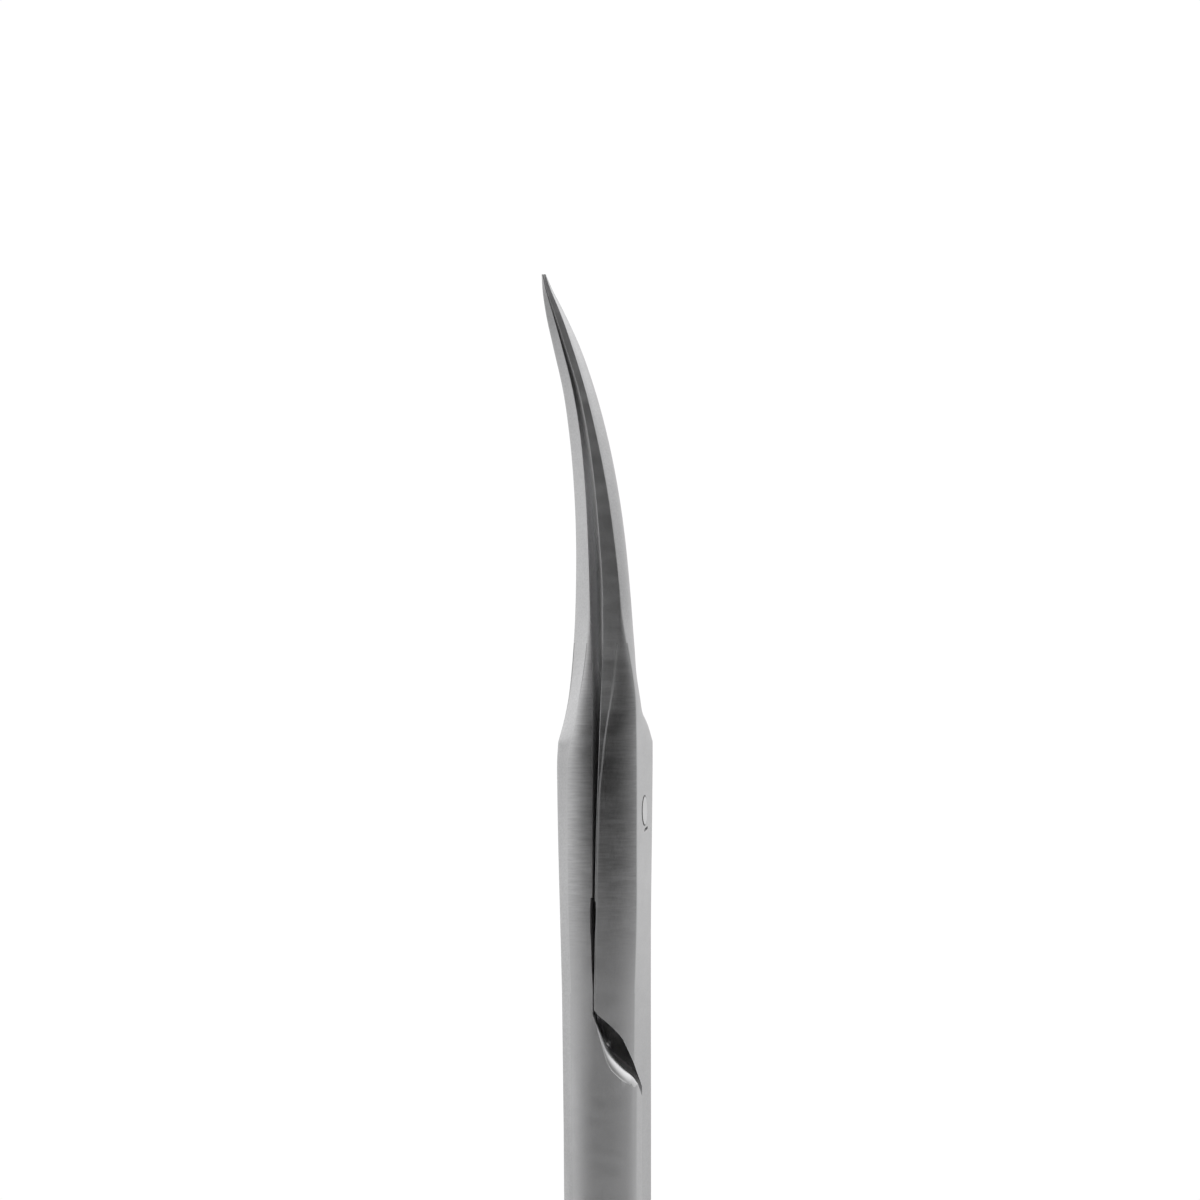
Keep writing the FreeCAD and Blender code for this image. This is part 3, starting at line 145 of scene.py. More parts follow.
def at_level(rows, z):
    """A table's row at any height, on a smooth cubic through its rows; the outer face has a corner at KINK."""
    n = len(rows)
    i = 0
    while i < n - 2 and z > rows[i + 1][0]:
        i += 1
    h = rows[i + 1][0] - rows[i][0]
    u = (z - rows[i][0]) / h
    out = [z]
    for c in range(1, len(rows[0])):
        sec = lambda k: (rows[k + 1][c] - rows[k][c]) / (rows[k + 1][0] - rows[k][0])
        tan = []
        for k in (i, i + 1):
            if k == 0 or k == n - 1:
                tan.append(sec(min(k, n - 2)))
            elif rows[k][0] == KINK and 7 <= c <= 10:
                tan.append(sec(i))
            else:
                g0, g1 = rows[k][0] - rows[k - 1][0], rows[k + 1][0] - rows[k][0]
                tan.append((sec(k - 1) * g1 + sec(k) * g0) / (g0 + g1))
        a, b = rows[i][c], rows[i + 1][c]
        out.append((2 * u ** 3 - 3 * u ** 2 + 1) * a + (u ** 3 - 2 * u ** 2 + u) * h * tan[0]
                   + (3 * u ** 2 - 2 * u ** 3) * b + (u ** 3 - u ** 2) * h * tan[1])
    return out


def corner(row, i):
    return (row[1 + 2 * i], row[2 + 2 * i])


def mix(p, q, f):
    return (p[0] + (q[0] - p[0]) * f, p[1] + (q[1] - p[1]) * f)


def at_y(p, q, y):
    return mix(p, q, (y - p[1]) / (q[1] - p[1]))


def smooth(a, b, v):
    u = max(0.0, min(1.0, (v - a) / (b - a)))
    return u * u * (3 - 2 * u)


def edge_points(p, q, bulge, n, cut0, cut1):
    """n + 1 points on a straight or curved side, cut back at its ends for the corner rounding."""
    dx, dy = q[0] - p[0], q[1] - p[1]
    chord = math.hypot(dx, dy)
    if chord < 1e-9:
        return [p] * (n + 1)
    if bulge < 1e-4:
        f0, f1 = cut0 / chord, 1 - cut1 / chord
        return [mix(p, q, f0 + (f1 - f0) * k / n) for k in range(n + 1)]
    rise = bulge * chord
    rad = (chord * chord / 4 + rise * rise) / (2 * rise)
    nx, ny = dy / chord, -dx / chord
    cx, cy = (p[0] + q[0]) / 2 - nx * (rad - rise), (p[1] + q[1]) / 2 - ny * (rad - rise)
    a0, a1 = math.atan2(p[1] - cy, p[0] - cx), math.atan2(q[1] - cy, q[0] - cx)
    if a1 < a0:
        a1 += 2 * math.pi
    a0, a1 = a0 + cut0 / rad, a1 - cut1 / rad
    return [(cx + rad * math.cos(a0 + (a1 - a0) * k / n), cy + rad * math.sin(a0 + (a1 - a0) * k / n)) for k in range(n + 1)]


# Segments along the eleven sides every section has, in the same order all the way up.
SEGS = [6, 12, 12, 6, 6, 6, 10, 2, 12, 6, 6]
STEPS = 3  # pieces in a rounded corner


def ring_points(edges, rounds):
    """The closed outline of one section: sides and rounded corners, with the side each point starts."""
    n = len(edges)
    length = [math.hypot(e[1][0] - e[0][0], e[1][1] - e[0][1]) for e in edges]
    cut = [min(rounds[k], 0.4 * length[k], 0.4 * length[k - 1]) for k in range(n)]
    sides = [edge_points(e[0], e[1], e[2], SEGS[k], cut[k], cut[(k + 1) % n]) for k, e in enumerate(edges)]
    pts, tags = [], []
    for k in range(n):
        a, c, b = sides[k - 1][-1], edges[k][0], sides[k][0]
        for s in range(1, STEPS):
            u = s / STEPS
            pts.append(((1 - u) ** 2 * a[0] + 2 * u * (1 - u) * c[0] + u * u * b[0],
                        (1 - u) ** 2 * a[1] + 2 * u * (1 - u) * c[1] + u * u * b[1]))
            tags.append(CORNER + k)
        pts += sides[k]
        tags += [k] * SEGS[k] + [CORNER + (k + 1) % n]
    return pts, tags


def lap_edges(row, share):
    """Blade or lap section: bevel, edge side, inner face in five parts, back, rounded side, outer face in two.
    share is the part of the outer face's width that its first part takes."""
    u1, u2, u3, u4, u4b, u5 = [corner(row, i) for i in range(6)]
    bow = max(0.0, row[15])
    half = 2 * math.atan(2 * bow)
    o1 = edge_points(u3, u4, bow, 1000, 0, 0)[int(round(1000 * share))] if bow > 1e-4 else mix(u3, u4, share)
    bow1, bow2 = math.tan(half * share / 2) / 2, math.tan(half * (1 - share) / 2) / 2
    cuts = [0, 12 / 40, 18 / 40, 24 / 40, 30 / 40, 1]
    inner = [mix(u5, u1, f) for f in cuts]
    e = [(u4, u4b, 0), (u4b, u5, row[14])]
    e += [(inner[k], inner[k + 1], 0) for k in range(5)]
    e += [(u1, u2, 0), (u2, u3, row[13]), (u3, o1, bow1), (o1, u4, bow2)]
    s = smooth(-9.5, -8.6, row[0])
    fine = 1 - 0.75 * smooth(20, 28, row[0])
    return e, [0.07 * fine, 0.035 * fine, 0.010 * s, 0, 0, 0, 0, 0.03 * s * fine, 0.045 * fine, 0.06 * fine, 0]


def block_edges(row):
    b = [corner(row, i) for i in range(9)]
    s6, s0 = at_y(b[4], b[5], SHANK_Y), at_y(b[8], b[0], SHANK_Y)
    e = [(b[0], b[1], 0), (b[1], b[2], row[19]), (b[2], b[3], row[20]), (b[3], b[4], 0), (b[4], s6, 0), (s6, b[5], 0),
         (b[5], b[6], row[21]), (b[6], b[7], 0), (b[7], b[8], row[22]), (b[8], s0, 0), (s0, b[0], 0)]
    return e, [0.07, 0.035, 0, 0.17, 0.17, 0, 0, 0, 0.045, 0.06, 0]


def shank_edges(row):
    s = [corner(row, i) for i in range(9)]
    m1, m2 = mix(s[7], s[8], 10 / 24), mix(s[7], s[8], 12 / 24)
    e = [(s[1], s[2], row[19]), (s[2], s[3], row[20]), (s[3], s[4], row[21]), (s[4], s[5], row[22]), (s[5], s[6], 0), (s[6], s[7], row[23]),
         (s[7], m1, 0), (m1, m2, 0), (m2, s[8], 0), (s[8], s[0], row[24]), (s[0], s[1], 0)]
    f = smooth(-36, -18, row[0]) if row[0] < -16.5 else 1.0
    return e, [0.07 * f, 0.035 * f, 0, 0.17 * f, 0.17 * f, 0, 0, 0, 0, 0, 0]


def steps(a, b, d):
    n = max(1, int(round((b - a) / d)))
    return [a + (b - a) * k / n for k in range(n + 1)]


# ------------------------------------------------------------------ a forging's skin
def ring_path(delta):
    """The ring's plan outline, moved inwards by delta: down the inner side, round the ring, up the crotch."""
    yc, zc = -(GAP + RING_OUT), -RING_DROP
    yo = -(GAP + SHANK_W)
    yf = yo - CROTCH
    zf = zc + math.sqrt((RING_OUT + CROTCH) ** 2 - (RING_OUT - SHANK_W - CROTCH) ** 2)
    out = [(-(GAP + delta), z) for z in steps(zc, -SHANK_END, 1.1)[::-1]]
    r = RING_OUT - delta
    a_end = math.atan2(zf - zc, yf - yc) - 2 * math.pi
    n = 120
    out += [(yc + r * math.cos(a_end * k / n), zc + r * math.sin(a_end * k / n)) for k in range(1, n + 1)]
    r = CROTCH + delta
    b0 = math.atan2(zc - zf, yc - yf)
    b1 = 0.0
    n = 24
    out += [(yf + r * math.cos(b0 + (b1 - b0) * k / n), zf + r * math.sin(b0 + (b1 - b0) * k / n)) for k in range(1, n + 1)]
    out += [(yo + delta, zf + (-SHANK_END - zf) * k / 4) for k in range(1, 5)]
    return out


def rim_profile():
    """The rounded edge of the ring as (x, distance in from the outline), from the +x face to the -x face."""
    flat = RING_HALF - RING_ROUND
    p = [(flat + RING_ROUND * math.cos(math.radians(15 * k)), RING_ROUND * (1 - math.sin(math.radians(15 * k)))) for k in range(7)]
    p += [(flat - 2 * flat * k / 24, 0.0) for k in range(1, 25)]
    p += [(-flat - RING_ROUND * math.sin(math.radians(15 * k)), RING_ROUND * (1 - math.cos(math.radians(15 * k)))) for k in range(1, 7)]
    return p


def build_forging(name, blade, block, shank):
    bm = bmesh.new()
    rings = []

    def add_ring(edges, rounds, z):
        pts, tags = ring_points(edges, rounds)
        rings.append(([bm.verts.new((p[0], p[1], z)) for p in pts], tags, z))

    for z in steps(-36.0, -16.5, 0.65):
        add_ring(*shank_edges(at_level(shank, z)), z)
    for z in steps(-16.5, -9.5, 0.5):
        add_ring(*block_edges(at_level(block, z)), z)
    levels = steps(-9.5, 2.5, 0.4) + steps(2.5, 3.6, 0.157)[1:] + steps(3.6, 6.0, 0.171)[1:] + steps(6.0, 13.0, 0.25)[1:] + steps(13.0, 24.0, 0.4)[1:] + steps(24.0, 28.0, 0.25)[1:]
    first = blade[0]
    share = (first[6] - SHANK_Y) / (first[6] - first[8])
    for z in levels:
        add_ring(*lap_edges(at_level(blade, z), share), z)

    lap_slot = dict(enumerate([FLANK, SIDE, INNER, INNER, INNER, INNER, INNER, SIDE, SIDE, FLANK, FLANK]))
    low_slot = dict(enumerate([FLANK, SIDE, SIDE, SIDE, FLANK, SATIN, SATIN, SATIN, SIDE, FLANK, FLANK]))
    # Along the lap and blades the rounded corners take the edge finish with its painted highlight; lower down, and
    # above 8.5 mm from the pivot, they take the faces' own finishes.
    for k in range(11):
        lap_slot[CORNER + k] = EDGE
        low_slot[CORNER + k] = SIDE
    m = len(rings[0][0])
    for (va, tags, za), (vb, _, zb) in zip(rings, rings[1:]):
        slots = lap_slot if za >= -9.5 and zb > za else low_slot
        if za > 8.5:
            slots = {**slots, **{CORNER + k: FLANK if k in (0, 9, 10) else SIDE for k in range(11)}}
        for k in range(m):
            f = bm.faces.new((va[k], va[(k + 1) % m], vb[(k + 1) % m], vb[k]))
            f.material_index = slots[tags[k]]
    bm.faces.new(rings[-1][0]).material_index = SIDE

    # finger ring: the rim swept round the plan outline, the finger hole, and the two flat sides
    prof = rim_profile()
    paths = [ring_path(d) for _, d in prof]
    grid = [[bm.verts.new((x, y, z)) for y, z in path] for (x, _), path in zip(prof, paths)]
    for ga, gb in zip(grid, grid[1:]):
        for k in range(len(ga) - 1):
            bm.faces.new((ga[k], ga[k + 1], gb[k + 1], gb[k])).material_index = SATIN
    n = 144
    yc, zc = -(GAP + RING_OUT), -RING_DROP
    hole = [[bm.verts.new((x, yc + (RING_IN + d) * math.cos(2 * math.pi * k / n), zc + (RING_IN + d) * math.sin(2 * math.pi * k / n))) for k in range(n)] for x, d in prof]
    for ga, gb in zip(hole, hole[1:]):
        for k in range(n):
            bm.faces.new((ga[k], gb[k], gb[(k + 1) % n], ga[(k + 1) % n])).material_index = SATIN
    bmesh.ops.remove_doubles(bm, verts=bm.verts[:], dist=0.0004)
    bmesh.ops.dissolve_degenerate(bm, edges=bm.edges[:], dist=0.0002)
    for x in (RING_HALF, -RING_HALF):
        rim = [e for e in bm.edges if len(e.link_faces) == 1 and all(abs(v.co.x - x) < 1e-4 for v in e.verts)]
        for g in bmesh.ops.triangle_fill(bm, edges=rim, use_beauty=True)["geom"]:
            if isinstance(g, bmesh.types.BMFace):
                g.material_index = SATIN
    bmesh.ops.recalc_face_normals(bm, faces=bm.faces[:])
    loose = [e for e in bm.edges if len(e.link_faces) != 2]
    print("SKIN", name, len(bm.verts), "verts", len(loose), "edges not shared by two faces")
    me = bpy.data.meshes.new(name)
    bm.to_mesh(me)
    bm.free()
    return me


# ------------------------------------------------------------------ what is cut from a forging
def mesh_object(name, me):
    o = bpy.data.objects.new(name, me)
    bpy.context.scene.collection.objects.link(o)
    return o


def prism(name, outline, start, move, slot, end_slot):
    """A closed prism: an outline of (x, z) at y = start, moved by the vector move; end_slot is its far end's finish."""
    bm = bmesh.new()
    a = [bm.verts.new((x, start, z)) for x, z in outline]
    b = [bm.verts.new((x + move[0], start + move[1], z + move[2])) for x, z in outline]
    n = len(a)
    for k in range(n):
        bm.faces.new((a[k], a[(k + 1) % n], b[(k + 1) % n], b[k]))
    bm.faces.new(a)
    end = bm.faces.new(b)
    for f in bm.faces:
        f.material_index = slot
    end.material_index = end_slot
    bmesh.ops.recalc_face_normals(bm, faces=bm.faces[:])
    me = bpy.data.meshes.new(name)
    bm.to_mesh(me)
    bm.free()
    return mesh_object(name, me)


def plate(name, outline, x0, x1, slot):
    """A closed slab: an outline of (y, z) from x0 to x1."""
    bm = bmesh.new()
    a = [bm.verts.new((x0, y, z)) for y, z in outline]
    b = [bm.verts.new((x1, y, z)) for y, z in outline]
    n = len(a)
    for k in range(n):
        bm.faces.new((a[k], a[(k + 1) % n], b[(k + 1) % n], b[k]))
    bm.faces.new(a)
    bm.faces.new(b)
    for f in bm.faces:
        f.material_index = slot
    bmesh.ops.recalc_face_normals(bm, faces=bm.faces[:])
    me = bpy.data.meshes.new(name)
    bm.to_mesh(me)
    bm.free()
    return mesh_object(name, me)


def turned_solid(name, profile, slot, n=72):
    """A solid turned about the pivot axis from (x, radius) points."""
    bm = bmesh.new()
    rows = []
    for x, r in profile:
        if r < 1e-6:
            rows.append([bm.verts.new((x, 0, 0))])
        else:
            rows.append([bm.verts.new((x, r * math.cos(2 * math.pi * k / n), r * math.sin(2 * math.pi * k / n))) for k in range(n)])
    for ra, rb in zip(rows, rows[1:]):
        for k in range(n):
            a, b = ra[k % len(ra)], ra[(k + 1) % len(ra)]
            c, d = rb[(k + 1) % len(rb)], rb[k % len(rb)]
            bm.faces.new([v for i, v in enumerate((a, b, c, d)) if v not in (a, b, c, d)[:i]])
    for f in bm.faces:
        f.material_index = slot
    bmesh.ops.recalc_face_normals(bm, faces=bm.faces[:])
    me = bpy.data.meshes.new(name)
    bm.to_mesh(me)
    bm.free()
    return mesh_object(name, me)


def curve_through(pts, n):
    """Points on a smooth curve through pts, n to a stretch."""
    out = []
    for i in range(len(pts) - 1):
        p0, p1, p2, p3 = pts[max(0, i - 1)], pts[i], pts[i + 1], pts[min(len(pts) - 1, i + 2)]
        for k in range(n):
            u = k / n
            out.append(tuple(0.5 * (2 * b + (c - a) * u + (2 * a - 5 * b + 4 * c - d) * u * u + (3 * b - a - 3 * c + d) * u ** 3)
                             for a, b, c, d in zip(p0, p1, p2, p3)))
    out.append(tuple(pts[-1]))
    return out


def rolled_ramp(name, arc, near):
    """The ramp's cut with its handle-side edge rolled over. arc is its profile (x, z) 4 mm out on the
    handle side; near gives the forging's own surface there."""
    bm = bmesh.new()
    n = len(arc)
    most = 0.95
    roll = [most * smooth(0.0, 0.5, k / (n - 1)) * (1 - 0.45 * smooth(0.6, 1.0, k / (n - 1))) for k in range(n)]
    rows = []
    for step in [-1.2, -0.3] + [0.012, 0.03, 0.06, 0.10, 0.16, 0.23, 0.32, 0.42, 0.54, 0.68, 0.84, 1.0] + [2.5, 9.0]:
        row = []
        for k, (x, z) in enumerate(arc):
            r = roll[k]
            d = step * most if 0 <= step <= 1 else step
            if d >= r or r < 1e-6:
                sink = 0.0
            elif d >= 0.012 * most:
                sink = r - math.sqrt(max(0.0, r * r - (r - d) ** 2))
            else:
                d0 = 0.012 * most
                sink = r - math.sqrt(max(0.0, r * r - (r - d0) ** 2)) + (d0 - d) * 1.5 * smooth(0, 0.3, r)
            p, q = arc[max(0, k - 1)], arc[min(n - 1, k + 1)]
            tx, tz = q[0] - p[0], q[1] - p[1]
            y = near(x) + d
            row.append(bm.verts.new((x, y, z - SLOPE * (y + 4.0) - sink / max(0.6, tx / math.hypot(tx, tz)))))
        top = [bm.verts.new((arc[-1][0], near(arc[-1][0]) + d, 2.0)), bm.verts.new((arc[0][0], near(arc[0][0]) + d, 2.0))]
        rows.append(row + top)
    m = n + 2
    for ra, rb in zip(rows, rows[1:]):
        for k in range(m):
            bm.faces.new((ra[k], ra[(k + 1) % m], rb[(k + 1) % m], rb[k]))
    bm.faces.new(rows[0])
    bm.faces.new(rows[-1])
    for f in bm.faces:
        f.material_index = CUT
    bmesh.ops.recalc_face_normals(bm, faces=bm.faces[:])
    bmesh.ops.triangulate(bm, faces=bm.faces[:])
    me = bpy.data.meshes.new(name)
    bm.to_mesh(me)
    bm.free()
    return mesh_object(name, me)


def near_side(block):
    """y of the handle-side surface of the block at any x to the right of the lap face."""
    edges, rounds = block_edges(at_level(block, -12.3))
    pts = []
    for k in (1, 2, 3):
        e = edges[k]
        pts += edge_points(e[0], e[1], e[2], 24, 0, 0)
    pts.sort()

    def near(x):
        for p, q in zip(pts, pts[1:]):
            if p[0] <= x <= q[0] and q[0] - p[0] > 1e-9:
                return mix(p, q, (x - p[0]) / (q[0] - p[0]))[1]
        return pts[-1][1] if x > pts[-1][0] else pts[0][1]
    return near


def cutters(tag, relief, near):
    """In the left half's frame: outer face on -x, handle on -y."""
    out = []
    p, q = (-0.03, -10.80 + SLOPE), (2.60, -13.68 + SLOPE)
    mx, mz = (p[0] + q[0]) / 2, (p[1] + q[1]) / 2
    dx, dz = q[0] - p[0], q[1] - p[1]
    chord = math.hypot(dx, dz)
    h = math.sqrt(RAMP_R ** 2 - chord * chord / 4)
    cx, cz = mx - dz / chord * h, mz + dx / chord * h
    a0, a1 = math.atan2(p[1] - cz, p[0] - cx), math.atan2(q[1] - cz, q[0] - cx)
    arc = [(cx + RAMP_R * math.cos(a0 + (a1 - a0) * k / 32), cz + RAMP_R * math.sin(a0 + (a1 - a0) * k / 32)) for k in range(33)]
    out.append(rolled_ramp(tag + "_ramp", arc, near))
    low = curve_through([(-x, -f + 0.6 * SLOPE) for x, f in LAP_END], 6)
    run = 3.6 + 0.03
    out.append(prism(tag + "_lap_end", [(2.9, -8.0), (0.0, -8.0)] + low + [(-2.40, -17.5), (2.9, -17.5)], 3.6, (0, -run, -run * SLOPE), CUT, SATIN))
    hollow = curve_through([(-d, z) for z, d in relief], 5)
    # the relief's faces take the inner finish, so the slit carries that finish's painted shade by the joint
    out.append(prism(tag + "_relief", [(0.4, relief[0][0])] + hollow + [(0.4, relief[-1][0])], 5.0, (0, -10.0, 0), INNER, INNER))
    return out


def finish_forging(name, me, cuts, flip, mats):
    """Takes the cuts out of the skin, smooths it except at its real edges, and puts it in the row frame."""
    o = mesh_object(name + "_blank", me)
    for c in cuts + [o]:
        for m in mats:
            c.data.materials.append(m)
    for c in cuts:
        mod = o.modifiers.new(c.name, "BOOLEAN")
        mod.operation = "DIFFERENCE"
        mod.solver = "EXACT"
        mod.object = c
        mod.material_mode = "INDEX"
    dg = bpy.context.evaluated_depsgraph_get()
    dg.update()
    done = bpy.data.meshes.new_from_object(o.evaluated_get(dg))
    for c in cuts + [o]:
        old = c.data
        bpy.data.objects.remove(c)
        bpy.data.meshes.remove(old)
    bm = bmesh.new()
    bm.from_mesh(done)
    bmesh.ops.remove_doubles(bm, verts=bm.verts[:], dist=0.0003)
    s = -1 if flip else 1
    for v in bm.verts:
        v.co = ((s * v.co.x + PIVOT[0]) * MM, (s * v.co.y + PIVOT[1]) * MM, (v.co.z + PIVOT[2]) * MM)
    for v in bm.verts:
        v.co = [min(max(c, lo), hi) for c, lo, hi in zip(v.co, *cad_box)]
    for f in bm.faces:
        f.smooth = True
    bad = [e for e in bm.edges if len(e.link_faces) != 2]
    print("FORGING", name, len(bm.verts), "verts", len(bm.faces), "faces", len(bad), "open edges")
    bm.to_mesh(done)
    bm.free()
    done.name = name
    print("FORGING", name, [m.name for m in done.materials], sorted({p.material_index for p in done.polygons}))
    done.set_sharp_from_angle(angle=math.radians(26))
    piece = mesh_object(name, done)
    wn = piece.modifiers.new("even_normals", "WEIGHTED_NORMAL")
    wn.mode = "FACE_AREA_WITH_ANGLE"
    wn.weight = 60
    wn.keep_sharp = True
    return piece


# ------------------------------------------------------------------ materials
Z0 = PIVOT[2] * MM


def steel(name, base, rough, brush=0.0, grain=0.0, fade=None, rough_var=0.05, tone=0.04, soften=None, rim=None, graze=1.0, metal=1.0, shade=()):
    """Ground steel. brush is the strength of the fine grinding lines that run across the tool,
    grain that of the blasted satin grain; fade limits the lines to a stretch of the length; soften
    makes the finish rougher in bands along the length; rim paints shade into the colour, a dark ring round the screw's
    end in the narrow gap there; shade paints light and shade into the colour, in bands along an axis that lighten or
    darken it."""
    m = bpy.data.materials.new(name)
    m.use_nodes = True
    nt = m.node_tree
    N, L = nt.nodes, nt.links
    bsdf = N["Principled BSDF"]
    bsdf.inputs["Metallic"].default_value = metal
    bsdf.inputs["Specular IOR Level"].default_value = 0.25
    bsdf.inputs["IOR"].default_value = 2.5
    bsdf.inputs["Specular Tint"].default_value = (graze, graze, graze, 1)
    tc = N.new("ShaderNodeTexCoord")

    def noise(scale, detail, rough_, stretch):
        mp = N.new("ShaderNodeMapping")
        mp.inputs["Scale"].default_value = stretch
        L.new(tc.outputs["Object"], mp.inputs["Vector"])
        t = N.new("ShaderNodeTexNoise")
        t.inputs["Scale"].default_value = scale
        t.inputs["Detail"].default_value = detail
        t.inputs["Roughness"].default_value = rough_
        L.new(mp.outputs["Vector"], t.inputs["Vector"])
        return t

    def math_node(op, a, b=None, c=None):
        n = N.new("ShaderNodeMath")
        n.operation = op
        for i, v in enumerate((a, b, c)):
            if v is None:
                continue
            if isinstance(v, (int, float)):
                n.inputs[i].default_value = v
            else:
                L.new(v, n.inputs[i])
        return n.outputs[0]

    def spread(v, lo, hi):
        n = N.new("ShaderNodeMapRange")
        n.inputs["From Min"].default_value = 0.3
        n.inputs["From Max"].default_value = 0.7
        n.inputs["To Min"].default_value = lo
        n.inputs["To Max"].default_value = hi
        L.new(v, n.inputs["Value"])
        return n.outputs["Result"]

    def band(out, lo, hi, a, b):
        n = N.new("ShaderNodeMapRange")
        n.interpolation_type = "SMOOTHSTEP"
        n.inputs["From Min"].default_value = lo
        n.inputs["From Max"].default_value = hi
        n.inputs["To Min"].default_value = a
        n.inputs["To Max"].default_value = b
        L.new(out, n.inputs["Value"])
        return n.outputs["Result"]

    sep = N.new("ShaderNodeSeparateXYZ")
    L.new(tc.outputs["Object"], sep.inputs["Vector"])
    lines = noise(1000.0, 2.0, 0.5, (1.1, 1.1, 10.0))
    coarse = noise(1000.0, 2.0, 0.5, (0.5, 0.5, 1.6))
    grit = noise(9000.0, 3.0, 0.6, (1.0, 1.0, 1.0))
    cloud = noise(260.0, 3.0, 0.55, (1.0, 1.0, 0.6))
    amount = None
    if fade:
        lo, hi, soft = fade
        amount = math_node("MULTIPLY", band(sep.outputs["Z"], lo - soft, lo + soft, 0.0, 1.0), band(sep.outputs["Z"], hi - soft, hi + soft, 1.0, 0.0))

    # tone: slow clouding, and lines or grain that catch a little more or less light
    fine = spread(lines.outputs["Fac"], -1.0, 1.0)
    if amount is not None:
        fine = math_node("MULTIPLY", fine, amount)
    t1 = math_node("MULTIPLY", fine, 0.10 * brush)
    t2 = math_node("MULTIPLY", spread(grit.outputs["Fac"], -1.0, 1.0), 0.09 * grain)
    t3 = math_node("MULTIPLY", spread(cloud.outputs["Fac"], -1.0, 1.0), tone)
    total = math_node("ADD", math_node("ADD", t1, t2), math_node("ADD", t3, 1.0))
    # painted light and shade: each band lightens or darkens the colour along an axis
    for axis, lo, hi, a, b in shade:
        total = math_node("MULTIPLY", total, band(sep.outputs[axis], lo, hi, a, b))
    # painted shade: a dark ring on the screw's outer end, at its rim where the gap round it lies
    if rim:
        y2, z1 = math_node("POWER", sep.outputs["Y"], 2.0), math_node("SUBTRACT", sep.outputs["Z"], Z0)
        dist = math_node("SQRT", math_node("ADD", y2, math_node("POWER", z1, 2.0)))
        gap = math_node("MULTIPLY", band(dist, rim[0], rim[1], 0.0, 1.0 - rim[2]), band(sep.outputs["X"], 0.0018, 0.0020, 0.0, 1.0))
        total = math_node("MULTIPLY", total, math_node("SUBTRACT", 1.0, gap))
    col = N.new("ShaderNodeVectorMath")
    col.operation = "SCALE"
    col.inputs[0].default_value = base
    L.new(total, col.inputs["Scale"])
    L.new(col.outputs["Vector"], bsdf.inputs["Base Color"])
    # roughness follows the same marks
    r1 = math_node("MULTIPLY", spread(coarse.outputs["Fac"], -1.0, 1.0), rough_var * (0.4 + 0.4 * brush))
    r2 = math_node("MULTIPLY", spread(grit.outputs["Fac"], -1.0, 1.0), rough_var * grain)
    r3 = math_node("ADD", math_node("ADD", r1, r2), rough)
    for lo, hi, a, b in soften or ():
        r3 = math_node("ADD", r3, band(sep.outputs["Z"], lo, hi, a, b))
    L.new(r3, bsdf.inputs["Roughness"])
    # relief
    bump = None
    for tex, strength, depth, uses in ((lines, 0.10 * brush, 0.000003, True), (grit, 0.25 * grain, 0.000003, False)):
        if strength <= 0:
            continue
        b = N.new("ShaderNodeBump")
        b.inputs["Distance"].default_value = depth
        if uses and amount is not None:
            L.new(math_node("MULTIPLY", amount, strength), b.inputs["Strength"])
        else:
            b.inputs["Strength"].default_value = strength
        L.new(tex.outputs["Fac"], b.inputs["Height"])
        if bump is not None:
            L.new(bump.outputs["Normal"], b.inputs["Normal"])
        bump = b
    if bump is not None:
        L.new(bump.outputs["Normal"], bsdf.inputs["Normal"])
    return m


mats = [
    steel("steel_satin", (0.565, 0.565, 0.57), 0.575, brush=0.1, grain=0.6),
    steel("steel_ground_side", (0.55, 0.55, 0.555), 0.34, brush=1.0, grain=0.35, fade=(Z0 - 0.006, Z0 + 0.009, 0.004),
          soften=[(Z0 - 0.013, Z0 + 0.004, 0.235, 0.0), (Z0 + 0.004, Z0 + 0.010, 0.0, 0.06)]),
    steel("steel_flank", (0.58, 0.58, 0.585), 0.38, brush=0.15, grain=1.0, soften=[(Z0 - 0.018, Z0 - 0.006, 0.20, 0.0)]),
    # painted light and shade on the inner faces: lighter on the cutting edge's half and darkening towards the spine,
    # darker low by the joint and its slit, and darker towards the tip
    steel("steel_inner_left", (0.62, 0.62, 0.625), 0.66, brush=0.3, grain=0.3, metal=0.8,
          shade=[("Y", 0.0, 0.0014, 1.58, 0.45), ("Z", Z0 + 0.002, Z0 + 0.0075, 0.55, 1.0), ("Z", Z0 + 0.0165, Z0 + 0.0245, 1.0, 0.25)]),
    steel("steel_cut", (0.70, 0.70, 0.705), 0.32, brush=0.1, grain=0.3),
    # the edge finish is painted a little lighter than the ground sides and flanks as a highlight along the edges, and
    # painted shade darkens it from 4.5 mm above the pivot upwards
    steel("steel_edge", (0.61, 0.61, 0.615), 0.50, brush=0.1, grain=0.3, shade=[("Z", Z0 + 0.0045, Z0 + 0.0075, 1.0, 0.62)]),
]
mats_right = list(mats)
# the same painted light and shade, mirrored for the right half, whose spine lies towards -y
mats_right[INNER] = steel("steel_inner_right", (0.62, 0.62, 0.625), 0.66, brush=0.3, grain=0.3, metal=0.8,
                          shade=[("Y", -0.0014, 0.0, 0.45, 1.58), ("Z", Z0 + 0.002, Z0 + 0.0075, 0.55, 1.0), ("Z", Z0 + 0.0165, Z0 + 0.0245, 1.0, 0.25)])
# the screw's end carries painted shade: a dark ring at its rim, in the gap round it
screw_mat = steel("steel_screw", (0.66, 0.66, 0.665), 0.32, brush=0.1, grain=0.3, rim=(0.00070, 0.00075, 0.04))

